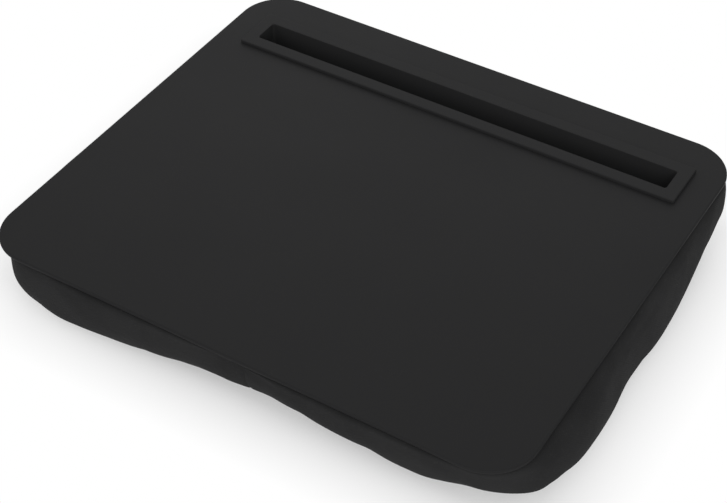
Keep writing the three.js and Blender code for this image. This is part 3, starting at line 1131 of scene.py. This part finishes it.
@dataclass
class CushionForm:
    """The sewn form of the cushion, before its beads swell it."""

    half_width: float
    half_depth: float
    corner_radius: float = 32 * MM
    hem_height: float = 58.7 * MM
    hem_inset: float = 6 * MM  # from the tray's edge to where the cover turns down
    hem_width: float = 17 * MM
    side_bulge_front: float = 13.3 * MM
    side_bulge_middle: float = 12.5 * MM
    side_bulge_back: float = 3 * MM
    end_bulge: float = 4 * MM
    end_pinch: float = 0.8  # share of the end bulge that the middle seam draws in
    left_drop: float = 26 * MM  # from the hem down to the widest part of a side
    right_drop: float = 20 * MM
    end_drop: float = 4 * MM
    drop_reach: float = 75 * MM
    shoulder_fullness: float = 0.4  # below 1, the shoulder is fuller than an ellipse
    side_run: float = 13 * MM  # how far a side runs in under, down to its foot
    end_run: float = 32 * MM
    seam_turn: float = math.radians(66)  # where on the flank the bottom is sewn to the band
    foot_corner_draw: float = 12 * MM  # how much further a corner is drawn in at its foot
    front_rise_left: float = 5 * MM
    front_rise_right: float = 19 * MM
    back_rise: float = 12 * MM
    rise_reach: float = 80 * MM
    lobe_offset: float = 120 * MM
    valley_rise: float = 11 * MM
    valley_half_width: float = 50 * MM
    corner_rise: float = 7 * MM
    corner_rise_reach: float = 85 * MM
    left_corner_draw: float = 18 * MM  # how far the front corners are drawn in at their widest part
    right_corner_draw: float = 8 * MM
    back_corner_draw: float = 2 * MM
    corner_draw_reach: float = 50 * MM
    corner_draw_delay: float = 1.6  # above 1, a corner keeps its width just below the hem

    def bulges(self, edge: Vector) -> tuple[float, float]:
        """Works out how far the cushion swells past the tray.

        Args:
            edge: A point on the tray's outline.

        Returns:
            How far a side and how far an end swells there.
        """
        share = edge.y / self.half_depth
        side_end = self.side_bulge_front if share < 0 else self.side_bulge_back
        side = lerp(self.side_bulge_middle, side_end, abs(share))
        end = self.end_bulge * (1 - self.end_pinch * bell(edge.x, self.valley_half_width))
        return side, end

    def widest_height(self, edge: Vector) -> float:
        """Works out the height at which the cushion is widest.

        Args:
            edge: A point on the tray's outline.

        Returns:
            The height there.
        """
        sideways = smoothstep(abs(edge.x), self.half_width - self.drop_reach, self.half_width)
        side_drop = self.left_drop if edge.x < 0 else self.right_drop
        return self.hem_height - lerp(self.end_drop, side_drop, sideways)

    def base_height(self, x: float, y: float) -> float:
        """Works out the height of the underside.

        Args:
            x: The place's X.
            y: The place's Y.

        Returns:
            The height there.
        """
        foot = self.half_depth + self.end_bulge - self.end_run
        valley = self.valley_rise * bell(x, self.valley_half_width)
        near_front = 1 - smoothstep(y, -foot, self.rise_reach - foot)
        near_back = smoothstep(y, foot - self.rise_reach, foot)
        near_corner = smoothstep(abs(x), self.half_width - self.corner_rise_reach, self.half_width)
        across = smoothstep(x, -self.lobe_offset, self.lobe_offset)
        front = lerp(self.front_rise_left, self.front_rise_right, across)
        corner = self.corner_rise * near_corner
        return valley + (front + corner) * near_front + (self.back_rise + corner) * near_back

    def past(self, edge: Vector, side: float, end: float, draw: float) -> Vector:
        """Carries a point of the outline out past the tray.

        Args:
            edge: The point on the tray's outline.
            side: How far a side is carried out.
            end: How far the front or the back is carried out.
            draw: How far the corners are drawn in again.

        Returns:
            The point, at no height.
        """
        point = Vector((edge.x * (1 + side / self.half_width), edge.y * (1 + end / self.half_depth), 0))
        corner_x = math.copysign(self.half_width, edge.x)
        corner_y = math.copysign(self.half_depth, edge.y)
        share = bell(math.hypot(edge.x - corner_x, edge.y - corner_y), self.corner_draw_reach)
        return point - Vector((corner_x, corner_y, 0)).normalized() * draw * share

    def corner_draw(self, edge: Vector) -> float:
        """Returns how far the nearest corner is drawn in at its widest part."""
        front = self.left_corner_draw if edge.x < 0 else self.right_corner_draw
        return front if edge.y < 0 else self.back_corner_draw

    def hem(self, edge: Vector, share: float) -> Vector:
        """Places a point of the hem.

        Args:
            edge: The point on the tray's outline that it belongs to.
            share: How far in it lies from where the cover turns down.

        Returns:
            The point.
        """
        inset = self.hem_inset + self.hem_width * share
        point = self.past(edge, -inset, -inset, 0.0)
        point.z = self.hem_height
        return point

    def shoulder(self, edge: Vector, turn: float) -> Vector:
        """Places a point of the shoulder.

        Args:
            edge: The point on the tray's outline that it belongs to.
            turn: Where it lies, from 0 at the hem to a quarter turn at the widest part.

        Returns:
            The point.
        """
        side, end = self.bulges(edge)
        out = math.sin(turn)
        past_side = lerp(-self.hem_inset, side, out)
        past_end = lerp(-self.hem_inset, end, out)
        draw = self.corner_draw(edge) * out ** self.corner_draw_delay
        point = self.past(edge, past_side, past_end, draw)
        rise = math.cos(turn) ** self.shoulder_fullness
        point.z = lerp(self.widest_height(edge), self.hem_height, rise)
        return point

    def flank(self, edge: Vector, turn: float) -> Vector:
        """Places a point of the flank.

        Args:
            edge: The point on the tray's outline that it belongs to.
            turn: Where it lies, from 0 at the widest part to a quarter turn in under at the foot.

        Returns:
            The point.
        """
        side, end = self.bulges(edge)
        inward = 1 - math.cos(turn)
        draw = self.corner_draw(edge) + self.foot_corner_draw * inward
        point = self.past(edge, side - self.side_run * inward, end - self.end_run * inward, draw)
        point.z = lerp(self.widest_height(edge), self.base_height(point.x, point.y), math.sin(turn))
        return point


Ring = tuple[Callable[[Vector, float], Vector], float]  # what places a ring, and its turn or share


class Panel(Enum):
    """The cover's sewn panels, each with the node that it stands for."""

    BAND = "cover_band"
    LEFT = "cover_bottom_left"
    RIGHT = "cover_bottom_right"

    @property
    def number(self) -> int:
        """Returns the panel's number, with which its faces are marked until the panels are parted."""
        return list(Panel).index(self)


CLOTH_SETTINGS: dict[str, float] = {
    "quality": 6,
    "mass": 0.25,
    "tension_stiffness": 15,
    "compression_stiffness": 15,
    "shear_stiffness": 5,
    "bending_stiffness": 2,
}


@dataclass
class CushionCover(SubAssembly):
    """The cover: a side band and two bottom halves sewn together, swollen by the beads inside."""

    form: CushionForm
    step: float = 5 * MM  # the mesh's size along the outline
    corner_segments: int = 10
    hem_steps: int = 3
    shoulder_steps: int = 7
    flank_steps: int = 9
    foot_steps: int = 3
    underside_step: float = 7 * MM
    foot_clearance: float = 4.9 * MM  # by which the underside's rows of points keep off the foot
    middle_reach: float = 1.25 * MM  # within which a point belongs to the bottom's middle seam
    slack: float = 2 * MM  # by which the sewn form is smaller than the swollen one
    slack_facing: Span = (0.5, 0.85)  # upright share of a normal over which the slack fades out
    lap_facing: float = -0.8  # upright share of a normal below which the cover lies on the lap
    spare_cloth: float = 0.006  # share by which the cloth is longer than the sewn form
    pressure: float = 4.0
    cap: float = 6 * MM
    frames: int = 20
    fold_smoothing: int = 4
    fabric: float = 1.2 * MM
    sharp_angle: float = math.radians(55)
    tick_x: float = 11 * MM  # where the band's own short seam shows below the tray's front edge
    tick_reach: float = 10 * MM
    tick_loops: tuple[int, ...] = (-2, -1, 0, 1, 2)
    loops_per_width: float = 1.4
    loop_snap: float = 0.1 * MM
    seam_half_width: float = 1.3 * MM
    seam_depth: float = 0.9 * MM
    gather_length: float = 30 * MM
    gather_depth: float = 0.5 * MM
    gather_fade: float = 16 * MM
    gather_slant: float = 0.35  # below 1, the gathers run longer down than along
    gather_rest: float = 0.4  # share of the gathers that is left far below the hem
    hem_fade: float = 6 * MM
    dents: list[Dent] = field(default_factory=list)
    skin: Object | None = None  # the outer face alone, which the bags are kept inside

    def build(self) -> list[Object]:
        """Builds the cover, and keeps its outer face in skin.

        Returns:
            The cover's panels.
        """
        self.skin = new_object("cover_skin", self.sides())
        self.draw_in(self.skin)
        self.swell(self.skin)
        self.close_bottom(self.skin)
        self.refine(self.skin)
        self.shape(self.skin)
        panels = [self.part(panel) for panel in Panel]
        for obj in panels:
            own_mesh(obj)
            self.dress(obj, Slot.COVER_FABRIC)
        return panels

    def sides(self) -> BMesh:
        """Builds the sides by carrying the tray's outline in along the hem and down to the foot.

        Returns:
            The sides' mesh, with the faces below the foot seam marked by their material index.
        """
        form = self.form
        bm = bmesh.new()
        add_outline(bm, form.half_width, form.half_depth, form.hem_height)
        round_corners(bm, form.corner_radius, self.corner_segments)
        for edge in bm.edges[:]:
            pairs = int(edge.calc_length() / self.step / 2)
            if pairs > 0:
                bmesh.ops.subdivide_edges(bm, edges=[edge], cuts=2 * pairs + 1)
        bmesh.ops.delete(bm, geom=bm.faces[:], context="FACES_ONLY")
        layer = bm.verts.layers.float_vector.new("outline")
        for vert in bm.verts:
            vert[layer] = vert.co
            vert.co = form.shoulder(vert[layer], 0.0)
        outline = bm.edges[:]
        hem = [(form.hem, share) for share in stops(0.0, 1.0, self.hem_steps)]
        side = [(form.shoulder, turn) for turn in stops(0.0, QUARTER_TURN, self.shoulder_steps)[:-1]]
        side += [(form.flank, turn) for turn in [0.0] + stops(0.0, form.seam_turn, self.flank_steps)]
        foot = [(form.flank, turn) for turn in stops(form.seam_turn, QUARTER_TURN, self.foot_steps)]
        self.carry(bm, outline, layer, hem)
        seam = self.carry(bm, outline, layer, side)
        band = set(bm.faces)
        self.carry(bm, seam, layer, foot)
        for face in bm.faces:
            if face not in band:
                face.material_index = Panel.LEFT.number
        bmesh.ops.recalc_face_normals(bm, faces=bm.faces[:])
        order_mesh(bm)
        return bm

    @staticmethod
    def carry(bm: BMesh, ring: list[BMEdge], layer: BMLayerItem, rings: list[Ring]) -> list[BMEdge]:
        """Extrudes a ring of edges through a row of further rings.

        Args:
            bm: The mesh that holds it.
            ring: The first ring's edges.
            layer: Holds each vertex's point on the tray's outline.
            rings: The further rings.

        Returns:
            The last ring's edges.
        """
        for place, amount in rings:
            ring = carry_ring(bm, ring, lambda vert: place(vert[layer], amount))
        return ring

    def close_bottom(self, obj: Object) -> None:
        """Fills the underside inside the foot, and parts the bottom's two halves along its middle.

        Args:
            obj: The cover's skin.
        """
        waist = self.form.hem_height / 2
        with edited(obj) as bm:
            foot = [edge for edge in bm.edges if edge.is_boundary and edge.verts[0].co.z < waist]
            rim = list(dict.fromkeys(vert for edge in foot for vert in edge.verts))
            verts = rim + self.underside(bm, rim)
            numbers = {vert: i for i, vert in enumerate(verts)}
            middle = [vert for vert in verts if abs(vert.co.x) < self.middle_reach]
            middle.sort(key=lambda vert: vert.co.y)
            pairs = [tuple(edge.verts) for edge in foot] + list(zip(middle, middle[1:]))
            links = [(numbers[first], numbers[second]) for first, second in pairs]
            flat = delaunay_2d_cdt([vert.co.xy for vert in verts], links, [], INSIDE_ONLY, MERGE_GAP)
            triangles, sources = flat[2:4]
            for corners in triangles:
                face = bm.faces.new([verts[sources[i][0]] for i in corners])
                face.material_index = Panel.LEFT.number
            loose = [vert for vert in bm.verts if not vert.link_faces]
            bmesh.ops.delete(bm, geom=loose, context="VERTS")
            for face in bm.faces:
                if face.material_index == Panel.LEFT.number and face.calc_center_median().x > 0:
                    face.material_index = Panel.RIGHT.number
            bmesh.ops.recalc_face_normals(bm, faces=bm.faces[:])
        self.rest_on_floor(obj)

    def underside(self, bm: BMesh, rim: list[BMVert]) -> list[BMVert]:
        """Adds rows of points to the underside, clear of the foot.

        Args:
            bm: The mesh that gets them.
            rim: The foot's points.

        Returns:
            The new points, some of them outside the foot.
        """
        tree = KDTree(len(rim))
        for i, vert in enumerate(rim):
            tree.insert((vert.co.x, vert.co.y, 0), i)
        tree.balance()
        size = self.underside_step
        columns = int(self.form.half_width / size)
        rows = int(self.form.half_depth / size)
        made = []
        for column in range(-columns, columns + 1):
            for row in range(-rows, rows + 1):
                place = Vector((column * size, row * size, 0))
                if tree.find(place)[2] > self.foot_clearance:
                    place.z = self.form.base_height(place.x, place.y)
                    made.append(bm.verts.new(place))
        return made

    def draw_in(self, obj: Object) -> None:
        """Draws the sides in, so that the beads can swell them.

        Args:
            obj: The cover's skin.
        """
        normals = [vert.normal.copy() for vert in obj.data.vertices]
        for vert, normal in zip(obj.data.vertices, normals):
            vert.co -= normal * self.slack * (1 - smoothstep(abs(normal.z), *self.slack_facing))

    def swell(self, obj: Object) -> None:
        """Swells the sewn form by a pressure from within, held by the tray above and the lap below.

        Args:
            obj: The cover's skin.
        """
        start = [vert.co.copy() for vert in obj.data.vertices]
        top = self.form.hem_height - self.fabric
        held = [
            vert.index
            for vert in obj.data.vertices
            if vert.co.z > top or vert.normal.z < self.lap_facing
        ]
        group = obj.vertex_groups.new(name="held")
        group.add(held, 1.0, "REPLACE")
        modifier = obj.modifiers.new("Swell", "CLOTH")
        settings = modifier.settings
        for name, value in CLOTH_SETTINGS.items():
            setattr(settings, name, value)
        settings.shrink_min = -self.spare_cloth
        settings.use_pressure = True
        settings.uniform_pressure_force = self.pressure
        settings.vertex_group_mass = group.name
        settings.effector_weights.gravity = 0
        modifier.collision_settings.use_collision = False
        modifier.point_cache.frame_start = 1
        modifier.point_cache.frame_end = self.frames
        scene = bpy.context.scene
        for number in range(1, self.frames + 1):
            scene.frame_set(number)
        depsgraph = bpy.context.evaluated_depsgraph_get()
        swollen = [vert.co.copy() for vert in obj.evaluated_get(depsgraph).data.vertices]
        obj.modifiers.clear()
        obj.vertex_groups.clear()
        for vert, old, new in zip(obj.data.vertices, start, swollen):
            move = new - old
            if move.length > self.cap:
                move.length = self.cap
            vert.co = old + move
        scene.frame_set(1)

    @staticmethod
    def rest_on_floor(obj: Object) -> None:
        """Flattens what has swollen below the floor."""
        for vert in obj.data.vertices:
            vert.co.z = max(vert.co.z, 0.0)

    def refine(self, obj: Object) -> None:
        """Softens the folds, subdivides the mesh once, and adds the loops of the band's own seam.

        Args:
            obj: The cover's skin.
        """
        smooth = obj.modifiers.new("Soft folds", "SMOOTH")
        smooth.iterations = self.fold_smoothing
        finer = obj.modifiers.new("Finer mesh", "SUBSURF")
        finer.levels = 1
        finer.render_levels = 1
        finer.use_limit_surface = False
        apply_modifiers(obj)
        with edited(obj) as bm:
            for number in self.tick_loops:
                x = self.tick_x + number * self.seam_half_width / self.loops_per_width
                faces = [face for face in bm.faces if self.near_tick(face)]
                geom = dict.fromkeys(item for face in faces for item in (*face.verts, *face.edges, face))
                bmesh.ops.bisect_plane(
                    bm, geom=list(geom), plane_co=(x, 0, 0), plane_no=(1, 0, 0), dist=self.loop_snap
                )

    def near_tick(self, face: BMFace) -> bool:
        """Finds whether a face of the band's front lies near its own short seam.

        Args:
            face: The face.

        Returns:
            Whether it does.
        """
        middle = face.calc_center_median()
        in_front = middle.y < -self.form.half_depth / 2
        in_band = face.material_index == Panel.BAND.number
        return in_front and in_band and abs(middle.x - self.tick_x) < self.tick_reach

    def shape(self, obj: Object) -> None:
        """Adds the gathers below the hem, the soft dents and the seams.

        Args:
            obj: The cover's skin.
        """
        with edited(obj) as bm:
            bm.normal_update()
            for vert in bm.verts:
                vert.co -= vert.normal * self.drawn(vert)
        self.rest_on_floor(obj)

    def drawn(self, vert: BMVert) -> float:
        """Works out how far a point of the cover is drawn in.

        Args:
            vert: The point.

        Returns:
            The distance, which is below zero where the point is let out.
        """
        place = vert.co
        below = self.form.hem_height - place.z
        wave = noise.noise(Vector((place.x, place.y, place.z * self.gather_slant)) / self.gather_length)
        gather = self.gather_depth * wave * (self.gather_rest + math.exp(-below / self.gather_fade))
        draw = sum(dent.pull(place) for dent in self.dents) - gather
        if all(self.near_tick(face) for face in vert.link_faces):
            draw += self.seam_depth * bell(place.x - self.tick_x, self.seam_half_width)
        if len({face.material_index for face in vert.link_faces}) > 1:
            draw += self.seam_depth
        return draw * smoothstep(below, 0.0, self.hem_fade)

    def part(self, panel: Panel) -> Object:
        """Parts one panel from the cover's skin and gives it its thickness.

        Args:
            panel: The panel.

        Returns:
            The panel's object.
        """
        bm = bmesh.new()
        bm.from_mesh(self.skin.data)
        others = [face for face in bm.faces if face.material_index != panel.number]
        bmesh.ops.delete(bm, geom=others, context="FACES")
        for face in bm.faces:
            face.material_index = 0
        obj = new_object(f"{panel.value}_cloth", bm)
        modifier = obj.modifiers.new("Fabric", "SOLIDIFY")
        modifier.thickness = self.fabric
        modifier.offset = -1
        apply_modifiers(obj)
        obj.data.shade_smooth()
        obj.data.set_sharp_from_angle(angle=self.sharp_angle)
        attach(obj, Body.CUSHION.value)
        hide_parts(panel.value)
        return obj


@dataclass
class BeadBag(SubAssembly):
    """One bag of foam beads inside the cover."""

    node: str
    cover: CushionCover
    voxel: float = 5 * MM
    shrink: float = 2 * MM
    depth: float = 3.5 * MM  # by which the bag stays below the cover's outer face
    lump: float = 0.35 * MM
    lump_size: float = 7 * MM
    room_inset: float = 6.5 * MM  # from the slot flange's edge in to the room that the trough needs
    room_below: float = 3 * MM
    keep: float = 0.73  # low enough for the slot's trough to clear the bag when the tray is down

    def build(self) -> list[Object]:
        """Builds the bag from its solid, with the beads' lumps, once its cover is built.

        Returns:
            The bag.
        """
        bm = bmesh.new()
        bm.from_mesh(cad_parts[self.node].data)
        bmesh.ops.remove_doubles(bm, verts=bm.verts[:], dist=MERGE_GAP)
        obj = new_object(f"{self.node}_filled", bm)
        modifier = obj.modifiers.new("Even mesh", "REMESH")
        modifier.mode = "VOXEL"
        modifier.voxel_size = self.voxel
        apply_modifiers(obj)
        normals = [vert.normal.copy() for vert in obj.data.vertices]
        for vert, normal in zip(obj.data.vertices, normals):
            lump = self.lump * noise.noise(vert.co / self.lump_size)
            vert.co -= normal * (self.shrink - lump)
        wrap = obj.modifiers.new("Inside the cover", "SHRINKWRAP")
        wrap.target = self.cover.skin
        wrap.wrap_method = "NEAREST_SURFACEPOINT"
        wrap.wrap_mode = "INSIDE"
        wrap.offset = self.depth
        apply_modifiers(obj)
        combine(obj, new_object("trough_room", self.trough_room()), Combine.CUT)
        obj.data.shade_smooth()
        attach(obj, Body.CUSHION.value)
        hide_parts(self.node)
        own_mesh(obj)
        self.dress(obj, Slot.BEAD_LINER)
        return [obj]

    def trough_room(self) -> BMesh:
        """Builds the solid that keeps the bag clear of the slot's trough.

        Returns:
            Its mesh.
        """
        low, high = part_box("slot_insert")
        bm = bmesh.new()
        inset = Vector((self.room_inset, self.room_inset, 0))
        add_box(bm, low + inset - Vector((0, 0, self.room_below)), high - inset)
        return bm


@dataclass
class BoardAndScrews(SubAssembly):
    """The board under the tray and its screws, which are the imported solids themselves."""

    def build(self) -> list[Object]:
        """Dresses the board and the screws.

        Returns:
            The board and the screws.
        """
        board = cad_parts["base_board"]
        screws = [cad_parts[name] for name in screw_nodes()]
        self.dress(board, Slot.HARDBOARD)
        for screw in screws:
            self.dress(screw, Slot.SCREW_STEEL)
        return [board, *screws]


@dataclass(frozen=True)
class Softbox:
    """A square area lamp that faces the object."""

    name: str
    place: Vector
    size: float
    power: float  # watts

    def hang(self) -> None:
        """Adds the lamp to the scene."""
        data = bpy.data.lights.new(self.name, "AREA")
        data.shape = "SQUARE"
        data.size = self.size
        data.energy = self.power
        stand(self.name, data, self.place, self.place)


# One low behind at the left, a broad one in front at the right and a weak one at the left
SOFTBOXES = (
    Softbox("softbox_back", Vector((-0.7, 1.3, 1.0)), size=1.4, power=8.0),
    Softbox("softbox_front", Vector((1.15, -1.6, 1.6)), size=2.2, power=44.0),
    Softbox("softbox_left", Vector((-1.5, -0.4, 1.0)), size=1.2, power=5.0),
)


@dataclass
class Studio:
    """Camera, light, floor and background."""

    target: Vector = field(default_factory=lambda: Vector((22.6, -45.4, 62.0)) * MM)
    azimuth: float = 31.54
    elevation: float = 43.06
    distance: float = 1.0317
    focal_pixels: float = 1649.0
    image_width: float = 727.0
    sensor: float = 36.0
    floor_size: float = 6.0
    floor_colour: Colour = (0.96, 0.96, 0.96)
    floor_glow: float = 0.3  # share of the floor that glows white beside the object
    # Painted shade: a box round the object, set off to the front and left. Inside it the floor's white
    # glow is held low so that its real shadow shows, and past it the glow washes the shadow out
    painted_shade_middle: Vector = field(default_factory=lambda: Vector((-9.5, 9.5, 0.0)) * MM)
    painted_shade_half: Vector = field(default_factory=lambda: Vector((190.5, 140.5, 1.0)) * MM)
    fade_start: float = 7 * MM  # from the painted shade box's outline to where the glow starts to grow
    fade_end: float = 58 * MM
    world_fill: float = 0.45

    def build(self) -> None:
        """Builds the whole studio."""
        bpy.context.scene.view_settings.view_transform = "Standard"
        self.camera()
        for softbox in SOFTBOXES:
            softbox.hang()
        self.floor()
        self.world()

    def camera(self) -> None:
        """Places the camera at the photograph's viewing angle."""
        turn = math.radians(self.azimuth)
        rise = math.radians(self.elevation)
        level = math.cos(rise)
        back = Vector((math.sin(turn) * level, -math.cos(turn) * level, math.sin(rise)))
        data = bpy.data.cameras.new("camera")
        data.sensor_width = self.sensor
        data.lens = self.focal_pixels / self.image_width * self.sensor
        place = self.target + back * self.distance
        bpy.context.scene.camera = stand("camera", data, place, back)

    @staticmethod
    def seen_directly(graph: Graph) -> NodeSocket:
        """Tells the rays that see a surface from those that only light it.

        Args:
            graph: The graph that asks.

        Returns:
            1 for camera, glossy and transmission rays, and otherwise 0.
        """
        rays = graph.add("ShaderNodeLightPath").outputs
        seen = graph.math("MAXIMUM", rays["Is Camera Ray"], rays["Is Glossy Ray"])
        return graph.math("MAXIMUM", seen, rays["Is Transmission Ray"])

    def floor(self) -> None:
        """Lays the pale floor, which keeps the shadow inside a painted shade box, turns white far off
        and is clear from below.
        """
        bm = bmesh.new()
        bmesh.ops.create_grid(bm, x_segments=1, y_segments=1, size=self.floor_size / 2)
        bmesh.ops.translate(bm, vec=(0, 0, -FIT_GAP), verts=bm.verts[:])
        obj = new_object("floor", bm)
        material, graph = new_material("pale_floor")
        matte = graph.add("ShaderNodeBsdfDiffuse", {"Color": (*self.floor_colour, 1.0)})
        glow = graph.add("ShaderNodeEmission", {"Color": WHITE})
        reach = (self.fade_start, self.fade_end)
        # painted shade: the glow's share is low near the object and rises to white past the shade box
        fade = graph.span(self.from_painted_shade(graph), reach, (self.floor_glow, 1.0))
        share = graph.math("MULTIPLY", self.seen_directly(graph), fade)
        lit = graph.add("ShaderNodeMixShader", {0: share, 1: matte.outputs[0], 2: glow.outputs[0]})
        below = graph.add("ShaderNodeNewGeometry").outputs["Backfacing"]
        clear = graph.add("ShaderNodeBsdfTransparent")
        ends = {0: below, 1: lit.outputs[0], 2: clear.outputs[0]}
        graph.put_out(graph.add("ShaderNodeMixShader", ends))
        obj.data.materials.append(material)

    def from_painted_shade(self, graph: Graph) -> NodeSocket:
        """Measures how far a point of the floor lies outside the painted shade box's outline.

        Args:
            graph: The floor's graph.

        Returns:
            The distance.
        """
        offset = graph.vector("SUBTRACT", graph.place(), self.painted_shade_middle)["Vector"]
        across = graph.vector("ABSOLUTE", offset)["Vector"]
        past = graph.vector("SUBTRACT", across, self.painted_shade_half)["Vector"]
        outside = graph.vector("MAXIMUM", past, (0, 0, 0))["Vector"]
        return graph.vector("LENGTH", outside)["Value"]

    def world(self) -> None:
        """Makes the world a soft fill light that looks white."""
        world = bpy.data.worlds.new("studio_world")
        world.use_nodes = True
        graph = Graph(world.node_tree)
        strength = graph.span(self.seen_directly(graph), FULL, (self.world_fill, 1.0))
        sky = graph.add("ShaderNodeBackground", {"Color": WHITE, "Strength": strength})
        graph.add("ShaderNodeOutputWorld", {"Surface": sky.outputs[0]})
        bpy.context.scene.world = world


def screw_nodes() -> list[str]:
    """Returns the names of the screws' nodes."""
    return sorted(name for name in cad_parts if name.startswith("board_screw_"))


def screw_places() -> list[Vector]:
    """Returns the middle of each screw."""
    boxes = [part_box(name) for name in screw_nodes()]
    return [(low + high) / 2 for low, high in boxes]


def cover_dents() -> list[Dent]:
    """Lists the cover's own dents and swellings.

    Returns:
        The dents, from the front right corner on.
    """
    millimetres = (
        ((172, -152, 28), 28, 6),  # the pinch in the front right corner
        ((199, -125, 34), 15, -0.8),  # the heel beside it
        ((202, -106, 32), 32, -3),  # the lobe of the right side
        ((200, -14, 30), 30, 5.5),  # the kink in the right side's middle
        ((-148, -150, 12), 40, -6),  # the front's left lobe
        ((-144, -158, 22), 15, -1.6),  # its heel
        ((138, -148, 24), 35, -3.5),  # the front's right lobe
        ((-5, -155, 32), 22, -2.5),  # the front's middle
    )
    return [Dent(Vector(place) * MM, reach * MM, depth * MM) for place, reach, depth in millimetres]


def main() -> None:
    """Builds and dresses every piece, and reports each one."""
    logging.basicConfig(level=logging.INFO, format="%(name)s: %(message)s")
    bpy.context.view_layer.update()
    Studio().build()
    groups = Groups()
    materials = {slot: finish.material(slot.value, groups) for slot, finish in FINISHES.items()}
    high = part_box("tray_top")[1]
    form = CushionForm(half_width=high.x, half_depth=high.y)
    cover = CushionCover(materials, form=form, dents=cover_dents())
    assemblies = (
        Tray(materials, screws=screw_places()),
        SlotInsert(materials),
        cover,
        BeadBag(materials, "bead_bag_left", cover),
        BeadBag(materials, "bead_bag_right", cover),
        BoardAndScrews(materials),
    )
    for assembly in assemblies:
        for obj in assembly.build():
            LOG.info("%s built with %d faces", obj.name, len(obj.data.polygons))
    bpy.data.objects.remove(cover.skin)


if __name__ == "__main__":
    main()
